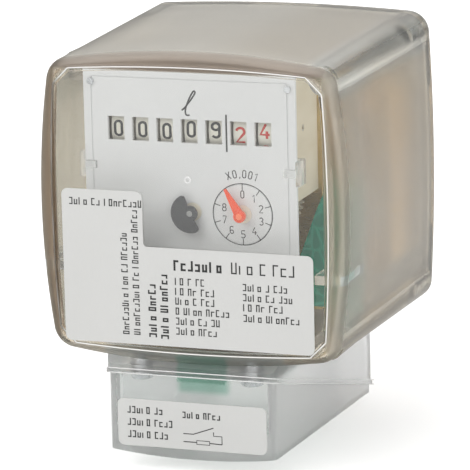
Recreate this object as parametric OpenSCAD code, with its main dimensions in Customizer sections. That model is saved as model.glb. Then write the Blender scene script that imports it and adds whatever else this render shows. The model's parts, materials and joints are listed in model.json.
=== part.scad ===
/* [Meter body] */
// Width of the block that carries the ports and the mounting threads
port_block_w = 40; // [36:0.5:44]
// Height of that block, from port face to port face
port_block_h = 54; // [50:0.5:56]
// Depth of that block
port_block_t = 14; // [13:0.5:16]
// Radius of the port bore, tapped G 1/8
port_r = 4.3; // [4:0.05:4.6]
// Depth of the tapped port
port_depth = 9; // [8:0.5:10]
// Radius of the drillings behind the ports
drilling_r = 2.6; // [2:0.1:3]
// Radius of the tapped mounting holes, M4
mount_hole_r = 1.65; // [1.6:0.05:2]
// Depth of the mounting holes
mount_hole_depth = 8; // [6:0.5:9]
// Spacing of the mounting holes across
mount_spacing_x = 30; // [28:0.5:32]
// Spacing of the mounting holes up and down
mount_spacing_z = 40; // [36:0.5:42]
// Wall left outside the chamber, left and right
chamber_side_wall = 4.8; // [4.5:0.1:5]
// Wall left outside the chamber, above and below
chamber_top_wall = 7.2; // [7:0.05:7.3]

/* [Measuring chamber] */
// Distance between the two gear axles
gear_spacing = 19; // [18.8:0.1:19.2]
// Long half axis of the oval pitch line
oval_long = 12; // [11.9:0.05:12]
// Teeth on each oval gear
oval_teeth = 28; // [24:2:30]
// Height of the oval gear teeth outside the pitch line
oval_tooth_out = 0.6; // [0.4:0.05:0.7]
// Depth of the oval gear teeth inside the pitch line
oval_tooth_in = 0.75; // [0.75:0.05:0.9]
// Depth of the measuring chamber
chamber_depth = 13.3; // [12:0.1:14]
// Gap between a tooth tip and the chamber wall
chamber_gap = 0.12; // [0.1:0.01:0.2]
// Gap between a gear face and the chamber end
gear_end_gap = 0.15; // [0.1:0.01:0.2]
// Radius of the gear axles
axle_r = 1.8; // [1.5:0.05:2]
// Thickness of the chamber cover
cover_t = 3.7; // [3.2:0.1:4]
// Radius of the coupling magnets
magnet_r = 1.6; // [1.4:0.1:1.7]
// Length of the coupling magnets
magnet_t = 3; // [2:0.1:3.2]

/* [Hood] */
// Width of the hood at the corners of its rear rim
hood_back_w = 63.8; // [63.6:0.1:65]
// Height of the hood at the corners of its rear rim
hood_back_h = 63.2; // [63:0.1:64.5]
// Width of the hood at the corners behind the front rounding
hood_front_w = 62.1; // [61.8:0.1:62.6]
// Height of the hood at the corners behind the front rounding
hood_front_h = 60.8; // [60.6:0.1:61.4]
// Width and height of the flat window
window_size = 58; // [57:0.1:58.4]
// Depth of the hood
hood_depth = 64.6; // [64.2:0.1:65.5]
// Depth of the rounding behind the window
rim_depth = 3.4; // [3:0.1:3.8]
// How far the hood's front outline swells between its corners
front_bulge = 2.1; // [1.9:0.05:2.3]
// How far the hood's rear outline swells between its corners
back_bulge = 0.8; // [0.6:0.05:1]
// Wall of the hood
hood_wall = 2.5; // [2.3:0.05:2.6]
// Thickness of the hood's window
window_t = 2.8; // [2.4:0.1:2.9]
// Radius of the screw columns in the hood's corners
column_r = 3.1; // [2.9:0.05:3.2]
// Thickness of the base plate behind the hood
base_plate_t = 3; // [2.8:0.1:3.4]

/* [Register] */
// Distance from the hood's window to the face of the dial
dial_depth = 7.6; // [7.2:0.05:7.8]
// Width of the dial plate
dial_w = 45.7; // [45:0.1:46]
// Height of the dial plate
dial_h = 53.4; // [52.6:0.1:53.6]
// Thickness of the dial plate
dial_t = 0.8; // [0.6:0.05:0.85]
// Radius of the pointer scale
scale_r = 6.4; // [6:0.1:6.8]
// Length of the pointer from its axis
pointer_l = 6.3; // [5.6:0.1:6.6]
// Radius of the flow indicator
indicator_r = 4.1; // [3.8:0.1:4.3]
// Thickness of the register plates
plate_t = 1.2; // [1.1:0.05:1.3]
// Radius of the arbors
arbor_r = 0.75; // [0.7:0.01:0.8]
// Running clearance of arbors, rollers and gears, on the radius
running_fit = 0.03; // [0.02:0.005:0.05]
// Thickness of the small gears
gear_t = 1; // [0.8:0.05:1.1]

/* [Counter] */
// Radius of a numeral roller
roller_r = 7.5; // [7.3:0.05:7.55]
// Distance between neighbouring rollers
roller_pitch = 5.29; // [5.25:0.01:5.32]
// Width of a roller window in the dial
roller_window_w = 3.6; // [3.4:0.05:3.7]
// Height of a roller window in the dial
roller_window_h = 4.95; // [4.6:0.05:5.2]
// Width of the numeral rim of a roller
roller_rim_w = 3.5; // [3.4:0.05:3.55]

/* [Lower case] */
// Width of the lower case
case_w = 37; // [36:0.1:38]
// Depth of the lower case
case_depth = 65; // [63:0.5:65.5]
// Height of the lower case's front face
case_front_h = 19.5; // [19.2:0.1:21]
// Height of the cap left below the parting line at its rear end
cap_rear_h = 2.9; // [2.6:0.1:4]
// Wall of the lower case
case_wall = 2; // [1.8:0.05:2.2]
// Inset of the cap behind the case's sides
cap_step = 0.4; // [0.2:0.05:0.5]
// Radius of the cable that the gland takes
cable_r = 2.6; // [2.2:0.1:2.8]

/* [Hidden] */
$fn = 64;

// General values
cut = 0.5;
seat_fit = 0.02;
loose_fit = 0.2;
thin_gap = 0.05;
half = 1 / 2;
corner_signs = [[-1, -1], [1, -1], [1, 1], [-1, 1]];

// M3 and M2 screws
m3_r = 1.5;
m3_tap_r = 1.25;
m3_head_r = 2.5;
m3_head_t = 1.8;
m2_r = 1;
m2_tap_r = 0.8;
m2_head_r = 1.8;
m2_head_t = 1.1;
slot_share = 0.22;
slot_depth_share = 0.45;

// The axis that gear A, the follower rotor and the pointer share
axis_x = gear_spacing * half;
axis_z = -1.7;
axis_a = [axis_x, axis_z];
axis_b = [-axis_x, axis_z];
chamber_mid = [0, axis_z];

// Depths, from the rear mounting face at y = 0 to the front
port_y = -port_block_t * half;
base_back = -port_block_t;
hood_back = base_back - base_plate_t;
hood_front = hood_back - hood_depth;
chamber_floor_t = 3;
chamber_back = hood_back - chamber_floor_t;
body_front = chamber_back - chamber_depth;
cover_front = body_front - cover_t;
dial_front = hood_front + dial_depth;
dial_back = dial_front + dial_t;
front_plate_t = 1.5;
front_plate_back = dial_back + front_plate_t;
rotor_room = 9;
rear_plate_back = cover_front - rotor_room;
rear_plate_front = rear_plate_back - plate_t;
mid_room = 7.6;
mid_plate_back = rear_plate_front - mid_room;
mid_plate_front = mid_plate_back - plate_t;
pointer_gap = 2;
pointer_y = dial_front - pointer_gap;

// Oval gears: r = 2 a b / (a + b - (a - b) cos 2t) rolls on its twin at the distance a + b
oval_short = gear_spacing - oval_long;
oval_excess = (oval_long - oval_short) / gear_spacing;
oval_spacing_slope = oval_excess * half * 180 / PI;
oval_tooth_share = 0.42;
oval_tip_share = 0.2;
oval_steps = 64;
chamber_r = oval_long + oval_tooth_out + chamber_gap;
gear_back = chamber_back - gear_end_gap;
gear_front = body_front + gear_end_gap;
gear_middle = (gear_back + gear_front) * half;
magnet_offset = oval_long * half;
axle_grip = 4.5;

// Body block with the chamber, and what is screwed to it
block_w = gear_spacing + 2 * (chamber_r + chamber_side_wall);
block_h = 2 * (chamber_r + chamber_top_wall);
block_corner_r = 3;
port_block_corner_r = 4;
lobe_share = 0.65;
lobe_offset = chamber_r * lobe_share;
seal_gap = 0.8;
seal_w = 1.3;
seal_t = 1.2;
cover_screw_inset = 3.4;
cover_screw_x = 12;
cover_screw_places = [for (s = corner_signs) chamber_mid + [s.x * cover_screw_x,
    s.y * (block_h * half - cover_screw_inset)]];
screw_grip = 5;
standoff_r = 2.6;
standoff_inset = 4.8;
pivot_depth = 1.2;

// Inlet strainer
strainer_r = drilling_r + 1;
strainer_wall = 0.6;
strainer_l = 7;
strainer_hole_r = 0.45;
strainer_rows = 3;
strainer_row_holes = 6;
strainer_ring_t = 1.2;
strainer_top = port_block_h * half - port_depth - strainer_ring_t;

// Base plate
hood_x = 0.45;
hood_z = -0.2;
base_inset = 1.3;
base_plate_screw_x = 14;
base_plate_screw_z = port_block_h * half - m3_head_r - loose_fit;
column_inset_x = 4.3;
column_inset_z = 4.4;
column_places = [for (s = corner_signs) [hood_x + s.x * (hood_back_w * half - column_inset_x),
    hood_z + s.y * (hood_back_h * half - column_inset_z)]];
hood_screw_grip = 8;
column_left_gap = 2.5;
column_left_front = dial_back + column_left_gap;
hood_seal_w = 1.2;
hood_seal_t = 1;
window_chamfer = 3.4;
window_bulge = 0.9;
chamfer_round_share = 0.2;
outline_steps = 8;
corner_steps = 5;
rim_shares = [0, 0.1, 0.35, 0.65, 1];
wall_steps = 4;
hood_corner_r = 4.6;
ledge_reach = 26.2;
ledge_z = -13;
ledge_t = 1.9;
ledge_l = 12;

// Register plates and frame
axis_from_dial_left = 34;
dial_left = axis_x - axis_from_dial_left;
dial_top = 27.4;
dial_right = dial_left + dial_w;
dial_bottom = dial_top - dial_h;
plate_inset = 0.6;
plate_left = dial_left + plate_inset;
plate_right = dial_right - plate_inset;
plate_top_inset = 1.6;
plate_top = dial_top - plate_top_inset;
plate_corner_r = 1;
plate_bottom = dial_bottom + plate_inset;
pillar_r = 2;
pillar_inset = 3.6;
pillar_places = [
    [plate_left + pillar_inset, plate_bottom + pillar_inset],
    [plate_right - pillar_inset, plate_bottom + pillar_inset],
    [plate_right - pillar_inset, plate_top - pillar_inset],
    [plate_left + pillar_inset, plate_top - pillar_inset]
];
stud_places = [for (s = corner_signs) chamber_mid + [s.x * (plate_right - standoff_r),
    s.y * (block_h * half - standoff_inset)]];
bush_r = 1.9;
bush_lip = 0.6;
indicator_spacing = 10.8;
indicator_x = axis_x - indicator_spacing;
axis_i = [indicator_x, axis_z];
collar_r = 1.5;
collar_l = 1;

// Gear train of the register
pressure_angle = 20;
tooth_share = 0.4;
flank_steps = 3;
tooth_out = 0.85;
tooth_in = 1.2;
root_widening = 1;
rotor_teeth = 24;
rotor_module = indicator_spacing / rotor_teeth;
rotor_gear_gap = 3.4;
rotor_gear_y = rear_plate_front - rotor_gear_gap;
indicator_pinion_teeth = 18;
pointer_teeth = 36;
pointer_module = 2 * indicator_spacing / (indicator_pinion_teeth + pointer_teeth);
pointer_gear_gap = 0.9;
pointer_gear_y = mid_plate_front - pointer_gear_gap;
rotor_r = 8;
rotor_t = 4;
rotor_gap = 2;
rotor_front = cover_front - rotor_gap - rotor_t;
rotor_magnet_wall = 0.8;
rotor_magnet_offset = rotor_r - magnet_r - rotor_magnet_wall;

// Counter: roller shaft, cross shaft, worm and transfer shaft, as [y, z]
roller_count = 7;
roller_z = 15;
roller_face_gap = 0.5;
roller_y = dial_back + roller_face_gap + roller_r;
roller_axis = [roller_y, roller_z];
axis_from_windows = 28.85;
window_left = axis_x - axis_from_windows;
roller_side_w = 0.9;
roller_disc_w = 0.55;
roller_disc_r = 5.4;
roller_lug_r = 6;
roller_lug_angle = 36;
roller_lug_w = 0.8;
roller_rim_start = 0.3;
roller_gear_teeth = 20;
roller_gear_module = 0.7;
transfer_teeth = 8;
transfer_spacing = (roller_gear_teeth + transfer_teeth) * roller_gear_module * half;
transfer_angle = 60;
transfer_axis = roller_axis + transfer_spacing * [cos(transfer_angle), sin(transfer_angle)];
transfer_side_gap = 0.17;
cross_back = 0.5;
cross_z = 3.4;
cross_axis = [roller_y + cross_back, cross_z];
drive_teeth = 20;
drive_spacing = norm(roller_axis - cross_axis);
drive_module = drive_spacing / drive_teeth;
drive_angle = atan2(roller_axis.y - cross_axis.y, roller_axis.x - cross_axis.x);
drive_start = window_left + (roller_count - 1) * roller_pitch + roller_rim_start + roller_rim_w;
worm_mean_r = 1.8;
worm_wave = 0.6;
worm_wheel_teeth = 10;
worm_wheel_r = cross_z - axis_z - worm_mean_r;
worm_pitch = 2 * PI * worm_wheel_r / worm_wheel_teeth;
worm_turns = 3;
worm_l = worm_turns * worm_pitch;
worm_steps = 12;
worm_facets = 18;
worm_gap = 0.2;
worm_root_share = 0.2;
worm_tip_share = 0.08;
cheek_t = 1.5;
bracket_half_h = 3;
cheek_gap_left = 0.7;
cheek_gap_right = 1.2;
cheek_left = window_left - roller_disc_w - cheek_gap_left - cheek_t;
cheek_right = drive_start + roller_side_w + cheek_gap_right;
cheek_bottom = cross_z - bracket_half_h;
bracket_gap = 0.6;
bracket_x = axis_x - worm_mean_r - worm_wave - bracket_gap;
bracket_back = cross_axis.x + bracket_half_h;

// Dial details
dial_corner_r = 0.5;
dial_pin_r = 0.7;
dial_pin_inset = [1.6, 2.8];
dial_pin_t = 0.35;
frame_line_inset = 1.6;
frame_line_w = 0.25;
frame_line_depth = 0.15;
scale_groove_w = 0.2;
clip_z = 7.3;
clip_h = 1.6;
clip_foot_h = 5.2;
clip_reach = 2.6;
clip_t = 0.9;
bar_offset = 3.25;
bar_x = axis_x - bar_offset;
bar_w = 0.3;
bar_h = 7.6;

// Pointer and flow indicator
pointer_hub_r = 1.25;
pointer_t = 0.5;
pointer_tail_w = 1.1;
pointer_tip_w = 0.25;
pointer_rest_angle = 30;
indicator_hub_r = 1.6;
indicator_pin_r = 0.56;
indicator_start = 109;
indicator_sweep = 191;
indicator_steps = 16;

// Labels on the hood and on the cap
label_t = 0.2;
label_reach_left = 27.5;
label_reach_right = 26.4;
label_side_w = 17.55;
label_left = hood_x - label_reach_left;
label_right = hood_x + label_reach_right;
label_bottom = -28.4;
label_side_top = 3.6;
label_low_top = -7.8;
label_side_right = label_left + label_side_w;
label_corner_r = 1.3;
contact_label_w = 32.4;
contact_label_h = 10;
contact_label_gap = 0.9;

// Lower case
case_offset = 0.75;
case_gap = 0.35;
case_setback = 0.6;
case_x = hood_x - case_offset;
case_left = case_x - case_w * half;
case_right = case_x + case_w * half;
case_top = hood_z - hood_front_h * half - front_bulge - case_gap;
case_front = hood_front + case_setback;
case_back = case_front + case_depth;
parting_drop = 1.8;
case_rise = 1.8;
case_bottom = case_top - case_front_h;
case_rear_drop = 2.5;
parting_slope = atan((case_front_h + case_rear_drop - parting_drop - cap_rear_h) / case_depth);
case_corner_r = 1.6;
case_rear_r = 2.4;
case_belly = 1.3;
case_screw_x = 12;
case_screw_inset = 5.2;
case_screw_rear_inset = 8;
cap_post_r = 2.4;
cap_post_x = 12.6;
cap_post_inset = 19.5;
cap_boss_h = 1.6;
rib_h = 0.9;
rib_out = 0.3;
board_t = 1.6;
board_w = 30;
board_front_gap = 6.5;
board_post_gap = 0.6;
board_front = case_front + case_wall + board_front_gap;
board_l = case_back - cap_post_inset - cap_post_r - board_post_gap - board_front;
block_w_terminal = 10.6;
block_l_terminal = 8;
block_h_terminal = 6.6;
terminal_offset = 4.4;
terminal_setback = 18;
terminal_x = case_x - terminal_offset;
terminal_front = case_front + terminal_setback;
terminal_count = 2;
terminal_pitch = block_w_terminal / terminal_count;
terminal_screw_inset = 5;
terminal_entry_r = 1.2;
terminal_entry_depth = 4.5;
terminal_well = 2.4;
gland_inset = 12;
gland_drop = 8.7;
gland_y = case_back - gland_inset;
gland_z = case_top - gland_drop;
gland_thread_r = 4;
gland_flange_r = 5.6;
gland_flange_t = 2;
gland_lock_r = 4.6;
gland_nut_r = 5.8;
gland_nut_t = 6;
gland_dome_t = 2;
gland_dome_r = 4.4;
gland_lock_t = 2.5;
gland_face = case_left - gland_flange_t;
gland_end = gland_face - gland_nut_t - gland_dome_t;

// Sensor board and reed switch: shares of the board's size are counted from its upper right corner
sensor_gap = 5.2;
sensor_y = mid_plate_front - sensor_gap;
sensor_t = 1.2;
sensor_reach = 27.6;
sensor_right = hood_x + sensor_reach;
sensor_top = 5;
sensor_w = 18.5;
sensor_h = 28.4;
sensor_outline_shares = [[0, 0], [-0.19, 0], [-0.38, -0.28], [-0.62, -0.7], [-1, -0.79], [-1, -1], [0, -1]];
sensor_post_shares = [[-0.486, -0.669], [-0.749, -0.859]];
sensor_post_r = 1.2;
sensor_lead_shares = [-0.954, -0.873];
sensor_lead_top_share = 0.88;
function on_sensor(share) = [sensor_right + share.x * sensor_w, sensor_top + share.y * sensor_h];
sensor_posts = [for (share = sensor_post_shares) on_sensor(share)];
sensor_lead_top = sensor_top - sensor_lead_top_share * sensor_h;
reed_reach = 23.2;
reed_gap = 1.5;
reed_x = hood_x + reed_reach;
reed_y = rotor_front - reed_gap;
reed_r = 1.1;
reed_l = 10;
reed_z = -5.5;
reed_lead_r = 0.3;
reed_lead_run = 1.6;
lead_r = 0.5;
lead_places = [for (share = sensor_lead_shares) sensor_right + share * sensor_w];
lead_y = sensor_y + sensor_t + lead_r;
lead_slot_w = 5;
lead_slot_l = 3;

// Module along_y: a shape drawn in x and z, from one depth to another
module along_y(from_y, to_y) {
    translate([0, to_y, 0]) rotate([90, 0, 0]) linear_extrude(to_y - from_y) children();
}

// Module along_x: a shape drawn in y and z, from one side to another
module along_x(from_x, to_x) {
    translate([from_x, 0, 0]) rotate([90, 0, 90]) linear_extrude(to_x - from_x) children();
}

module along_z(from_z, to_z) {
    translate([0, 0, from_z]) linear_extrude(to_z - from_z) children();
}

module rod_y(at, r, from_y, to_y) {
    along_y(from_y, to_y) translate(at) circle(r);
}

module rod_x(at, r, from_x, to_x) {
    along_x(from_x, to_x) translate(at) circle(r);
}

module rod_z(at, r, from_z, to_z) {
    along_z(from_z, to_z) translate(at) circle(r);
}

// A plate between two corners, drawn in x and z, with round corners
module rounded_rect(low, high, r) {
    size = high - low;
    translate(low + [r, 0]) square([size.x - 2 * r, size.y]);
    translate(low + [0, r]) square([size.x, size.y - 2 * r]);
    for (x = [low.x + r, high.x - r], z = [low.y + r, high.y - r]) translate([x, z]) circle(r);
}

function polar(r, a) = r * [cos(a), sin(a)];

// Points of an arc about a centre, from one angle to another
function arc(c, r, a0, a1, n) = [for (i = [0:n]) c + polar(r, a0 + (a1 - a0) * i / n)];

// One swelling side of a rectangle and the corner after it: round, or straight where round_share is 0
function corner_point(w, h, r, round_share, t) = let (
        straight = [w * half - r * t, h * half - r * (1 - t)],
        curved = [w * half - r, h * half - r] + polar(r, 90 * t))
    straight + (curved - straight) * round_share;
function side(w, h, r, swell, round_share) = concat(
    [for (i = [0:outline_steps]) let (t = 2 * i / outline_steps - 1)
        [w * half + swell * (1 - t * t), t * (h * half - r)]],
    [for (i = [1:corner_steps - 1]) corner_point(w, h, r, round_share, i / corner_steps)]);
function quarter_turned(points, quarter) = [for (p = points) quarter == 1 ? [-p.y, p.x]
    : quarter == 2 ? [-p.x, -p.y] : [p.y, -p.x]];

// Points of a rectangle with swelling sides, going round from its lower right corner
function swelled(w, h, r, swell, round_share = 1) = concat(
    side(w, h, r, swell, round_share), quarter_turned(side(h, w, r, swell, round_share), 1),
    quarter_turned(side(w, h, r, swell, round_share), 2),
    quarter_turned(side(h, w, r, swell, round_share), 3));

// A solid through outlines with equally many points, each at its own depth from the front to the back
module loft(depths, outlines) {
    n = len(outlines[0]);
    last = len(outlines) - 1;
    polyhedron(
        points = [for (i = [0:last]) each [for (q = outlines[i]) [q.x, depths[i], q.y]]],
        faces = concat([[for (j = [n - 1:-1:0]) j]], [[for (j = [0:n - 1]) last * n + j]],
            [for (i = [0:last - 1], j = [0:n - 1]) let (k = (j + 1) % n) each [
                [i * n + j, i * n + k, (i + 1) * n + k], [i * n + j, (i + 1) * n + k, (i + 1) * n + j]]]));
}

// Involute gear outline
function involute(a) = tan(a) * 180 / PI - a;
function flank_angle(base, r) = involute(acos(min(1, base / r)));
function gear_points(teeth, module_size, phase) = let (
        pitch_r = teeth * module_size * half,
        base = pitch_r * cos(pressure_angle),
        root = pitch_r - tooth_in * module_size,
        low = max(root, base),
        tip = pitch_r + tooth_out * module_size,
        half_tooth = 180 / teeth * tooth_share + flank_angle(base, pitch_r),
        flank = [for (i = [0:flank_steps]) low + (tip - low) * i / flank_steps])
    [for (k = [0:teeth - 1]) let (c = phase + k * 360 / teeth) each concat(
        [polar(root, c - half_tooth + flank_angle(base, low) - root_widening)],
        [for (i = [0:flank_steps]) polar(flank[i], c - half_tooth + flank_angle(base, flank[i]))],
        [for (i = [flank_steps:-1:0]) polar(flank[i], c + half_tooth - flank_angle(base, flank[i]))],
        [polar(root, c + half_tooth - flank_angle(base, low) + root_widening)])];

module gear(teeth, module_size, phase) {
    polygon(gear_points(teeth, module_size, phase));
}

// Oval gear outline, its long axis at the given angle
function oval_r(t) = 2 * oval_long * oval_short / (gear_spacing - (oval_long - oval_short) * cos(2 * t));
function oval_angle(u) = u - oval_spacing_slope * sin(2 * u);
function oval_point(u, out, turn) = let (t = oval_angle(u)) polar(oval_r(t) + out, t + turn);
function oval_line(out, turn, n) = [for (i = [0:n - 1]) oval_point(360 * i / n, out, turn)];
function oval_toothed(turn) = let (step = 360 / oval_teeth) [for (k = [0:oval_teeth - 1])
    let (u = k * step) each [
        oval_point(u - step * oval_tooth_share, -oval_tooth_in, turn),
        oval_point(u - step * oval_tip_share, oval_tooth_out, turn),
        oval_point(u + step * oval_tip_share, oval_tooth_out, turn),
        oval_point(u + step * oval_tooth_share, -oval_tooth_in, turn)]];

// Screws along y, the head at the front end and the shank going back
module screw_y(at, r, head_r, head_t, head_back, shank_l) {
    difference() {
        rod_y(at, head_r, head_back - head_t, head_back);
        along_y(head_back - head_t - cut, head_back - head_t * (1 - slot_depth_share))
            translate(at - [head_r, head_r * slot_share]) square([2 * head_r, 2 * head_r * slot_share]);
    }
    rod_y(at, r, head_back, head_back + shank_l);
}

// The same screw, with its head at the rear end and the shank going forward
module screw_from_back(at, r, head_r, head_t, head_front, shank_l) {
    mirror([0, 1, 0]) screw_y(at, r, head_r, head_t, -head_front, shank_l);
}

// Screws along z, the head at the lower end and the shank going up
module screw_up(at, r, head_r, head_t, head_top, shank_l) {
    difference() {
        rod_z(at, head_r, head_top - head_t, head_top);
        along_z(head_top - head_t - cut, head_top - head_t * (1 - slot_depth_share))
            translate(at - [head_r, head_r * slot_share]) square([2 * head_r, 2 * head_r * slot_share]);
    }
    rod_z(at, r, head_top, head_top + shank_l);
}

// A straight-sided oval round both gears
module stadium(r) {
    translate(axis_a) circle(r);
    translate(axis_b) circle(r);
    translate(chamber_mid - [axis_x, r]) square([gear_spacing, 2 * r]);
}

module block_outline(gap) {
    corner = [block_w * half + gap, block_h * half + gap];
    rounded_rect(chamber_mid - corner, chamber_mid + corner, block_corner_r);
}

module meter_body() {
    corner = [port_block_w, port_block_h] * half;
    color("#b9974f")
    difference() {
        union() {
            along_y(-port_block_t, 0) rounded_rect(-corner, corner, port_block_corner_r);
            along_y(body_front, -port_block_t) block_outline(-loose_fit);
        }
        for (at = [axis_a, axis_b]) {
            rod_y(at, chamber_r, body_front - cut, chamber_back);
            rod_y(at, axle_r + seat_fit, chamber_back - cut, chamber_back + axle_grip);
        }
        for (s = [-1, 1]) {
            rod_z([0, port_y], port_r, s > 0 ? corner.y - port_depth : -corner.y - cut,
                s > 0 ? corner.y + cut : -corner.y + port_depth);
            rod_y(chamber_mid + [0, s * lobe_offset], drilling_r, body_front - cut, port_y);
        }
        rod_z([0, port_y], drilling_r, axis_z + lobe_offset, corner.y);
        rod_z([0, port_y], drilling_r, -corner.y, axis_z - lobe_offset);
        rod_z([0, port_y], strainer_r + seat_fit, strainer_top - strainer_l, corner.y - port_depth);
        along_y(body_front - cut, body_front + seal_t) difference() {
            stadium(chamber_r + seal_gap + seal_w);
            stadium(chamber_r + seal_gap);
        }
        for (at = concat(stud_places, cover_screw_places))
            rod_y(at, m3_tap_r, body_front - cut, body_front + screw_grip + cut);
        for (s = corner_signs) {
            rod_y([s.x * mount_spacing_x, s.y * mount_spacing_z] * half, mount_hole_r,
                -mount_hole_depth, cut);
            rod_y([s.x * base_plate_screw_x, s.y * base_plate_screw_z], m3_tap_r, base_back - cut,
                base_back + screw_grip);
        }
    }
}

module oval_gear_a() {
    color("#3c3f42")
    translate([axis_x, 0, axis_z])
    difference() {
        union() {
            along_y(gear_middle, gear_back) polygon(oval_toothed(0));
            along_y(gear_front, gear_middle) polygon(oval_line(-oval_tooth_in, 0, oval_steps));
        }
        rod_y([0, 0], axle_r + running_fit, gear_front - cut, gear_back + cut);
        for (s = [-1, 1])
            rod_y([s * magnet_offset, 0], magnet_r + seat_fit, gear_front - cut, gear_front + magnet_t);
    }
}

module oval_gear_b() {
    color("#3c3f42")
    translate([-axis_x, 0, axis_z])
    difference() {
        union() {
            along_y(gear_front, gear_middle) polygon(oval_toothed(90));
            along_y(gear_middle, gear_back) polygon(oval_line(-oval_tooth_in, 90, oval_steps));
        }
        rod_y([0, 0], axle_r + running_fit, gear_front - cut, gear_back + cut);
    }
}

module gear_axles() {
    color("#c9ccce")
    for (at = [axis_a, axis_b]) rod_y(at, axle_r, body_front, chamber_back + axle_grip);
}

module drive_magnets() {
    color("#6e7276")
    for (s = [-1, 1]) rod_y(axis_a + [s * magnet_offset, 0], magnet_r, gear_front, gear_front + magnet_t);
}

module chamber_seal() {
    color("#26282a")
    along_y(body_front, body_front + seal_t) difference() {
        stadium(chamber_r + seal_gap + seal_w - thin_gap);
        stadium(chamber_r + seal_gap + thin_gap);
    }
}

module chamber_cover() {
    color("#c9b071")
    difference() {
        along_y(cover_front, body_front) block_outline(-loose_fit);
        for (at = concat(stud_places, cover_screw_places))
            rod_y(at, m3_r + loose_fit, cover_front - cut, body_front + cut);
        rod_y(axis_a, arbor_r + running_fit, cover_front - cut, cover_front + pivot_depth);
    }
}

module cover_screws() {
    color("#c9ccce")
    for (at = cover_screw_places) {
        screw_y(at, m3_tap_r, m3_head_r, m3_head_t, cover_front, cover_t + screw_grip);
    }
}

module inlet_strainer() {
    foot = strainer_top - strainer_l;
    color("#d8dadb")
    difference() {
        rod_z([0, port_y], strainer_r, foot, strainer_top);
        rod_z([0, port_y], strainer_r - strainer_wall, foot + strainer_wall, strainer_top + cut);
        rod_z([0, port_y], strainer_r * half, foot - cut, strainer_top);
        for (row = [1:strainer_rows], k = [0:strainer_row_holes - 1])
            translate([0, port_y, foot + strainer_l * row / (strainer_rows + 1)])
            rotate([0, 90, k * 360 / strainer_row_holes])
            cylinder(r = strainer_hole_r, h = strainer_r + cut);
    }
}

module strainer_ring() {
    color("#c9b071")
    difference() {
        rod_z([0, port_y], strainer_r, strainer_top, strainer_top + strainer_ring_t);
        rod_z([0, port_y], drilling_r, strainer_top - cut, strainer_top + strainer_ring_t + cut);
    }
}

// Outline of the hood's rear rim, drawn in x and z
module rear_outline(gap) {
    translate([hood_x, hood_z])
    polygon(swelled(hood_back_w + 2 * gap, hood_back_h + 2 * gap, hood_corner_r + gap, back_bulge));
}

module base_plate() {
    color("#8f9396")
    difference() {
        along_y(hood_back, base_back) rear_outline(-base_inset);
        along_y(hood_back - cut, base_back + cut) block_outline(0);
        for (at = column_places) rod_y(at, m3_r + loose_fit, hood_back - cut, base_back + cut);
        for (s = corner_signs)
            rod_y([s.x * base_plate_screw_x, s.y * base_plate_screw_z], m3_r + loose_fit, hood_back - cut,
                base_back + cut);
        along_y(hood_back - cut, hood_back + hood_seal_t) seal_ring(0);
    }
}

module seal_ring(gap) {
    middle = (hood_wall + base_inset) * half;
    difference() {
        rear_outline(-middle + hood_seal_w * half - gap);
        rear_outline(-middle - hood_seal_w * half + gap);
    }
}

module base_screws() {
    color("#c9ccce")
    for (s = corner_signs)
        screw_y([s.x * base_plate_screw_x, s.y * base_plate_screw_z], m3_tap_r, m3_head_r, m3_head_t,
            hood_back, base_plate_t + screw_grip);
}

module hood_seal() {
    color("#26282a")
    along_y(hood_back, hood_back + hood_seal_t) seal_ring(thin_gap);
}

// The hood's form from the window to the rear rim; the inner form lies a wall inside the outer one
function rim_round(t) = sqrt(1 - (1 - t) * (1 - t));
function blend(a, b, t) = a + (b - a) * t;
function rim_outline(inset, u) = swelled(
    blend(window_size, hood_front_w, u) - 2 * inset,
    blend(window_size, hood_front_h, u) - 2 * inset,
    blend(window_chamfer, hood_corner_r, u) - inset * blend(2 - sqrt(2), 1, u),
    blend(window_bulge, front_bulge, u), blend(chamfer_round_share, 1, u));
function wall_outline(inset, t) = swelled(
    blend(hood_front_w, hood_back_w, t) - 2 * inset,
    blend(hood_front_h, hood_back_h, t) - 2 * inset,
    hood_corner_r - inset, blend(front_bulge, back_bulge, t));
module hood_form(inset, front_gap, rear_gap) {
    shoulder = hood_front + rim_depth;
    rows = concat(
        [for (t = rim_shares) [blend(hood_front + front_gap, shoulder, t), rim_outline(inset, rim_round(t))]],
        [for (i = [1:wall_steps]) let (t = i / wall_steps)
            [blend(shoulder, hood_back + rear_gap, t), wall_outline(inset, t)]]);
    translate([hood_x, 0, hood_z]) loft([for (row = rows) row[0]], [for (row = rows) row[1]]);
}

// Two ledges on the side walls behind the window, drawn for both sides
module ledges() {
    front = hood_front + window_t * half;
    width = hood_front_w * half + front_bulge - ledge_reach;
    for (s = [-1, 1])
        translate([hood_x + (s > 0 ? ledge_reach : -ledge_reach - width), front, ledge_z - ledge_t * half])
        cube([width, ledge_l, ledge_t]);
}

// Slot that the sensor leads pass through on their way into the lower case
module lead_slot(low, high) {
    middle = [(lead_places[0] + lead_places[1]) * half, lead_y];
    size = [lead_slot_w, lead_slot_l] * half;
    along_z(low, high) translate(middle - size) square(2 * size);
}

module hood() {
    color("#d8d4cc", 0.4)
    difference() {
        union() {
            difference() {
                hood_form(0, 0, 0);
                hood_form(hood_wall, window_t, cut);
            }
            intersection() {
                hood_form(thin_gap, thin_gap, 0);
                union() {
                    ledges();
                    for (at = column_places)
                        rod_y(at, column_r, at.x > hood_x ? hood_front + window_t * half : column_left_front,
                            hood_back);
                }
            }
        }
        for (at = column_places) rod_y(at, m3_tap_r, hood_back - hood_screw_grip - cut, hood_back + cut);
        for (at = case_screw_places()) rod_z(at, m3_tap_r, case_top - cut, case_top + 2 * hood_wall);
        lead_slot(case_top, case_top + 2 * hood_wall + front_bulge);
    }
}

module hood_screws() {
    color("#c9ccce")
    for (at = column_places)
        screw_from_back(at, m3_tap_r, m3_head_r, m3_head_t, base_back, base_plate_t + hood_screw_grip);
}

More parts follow.
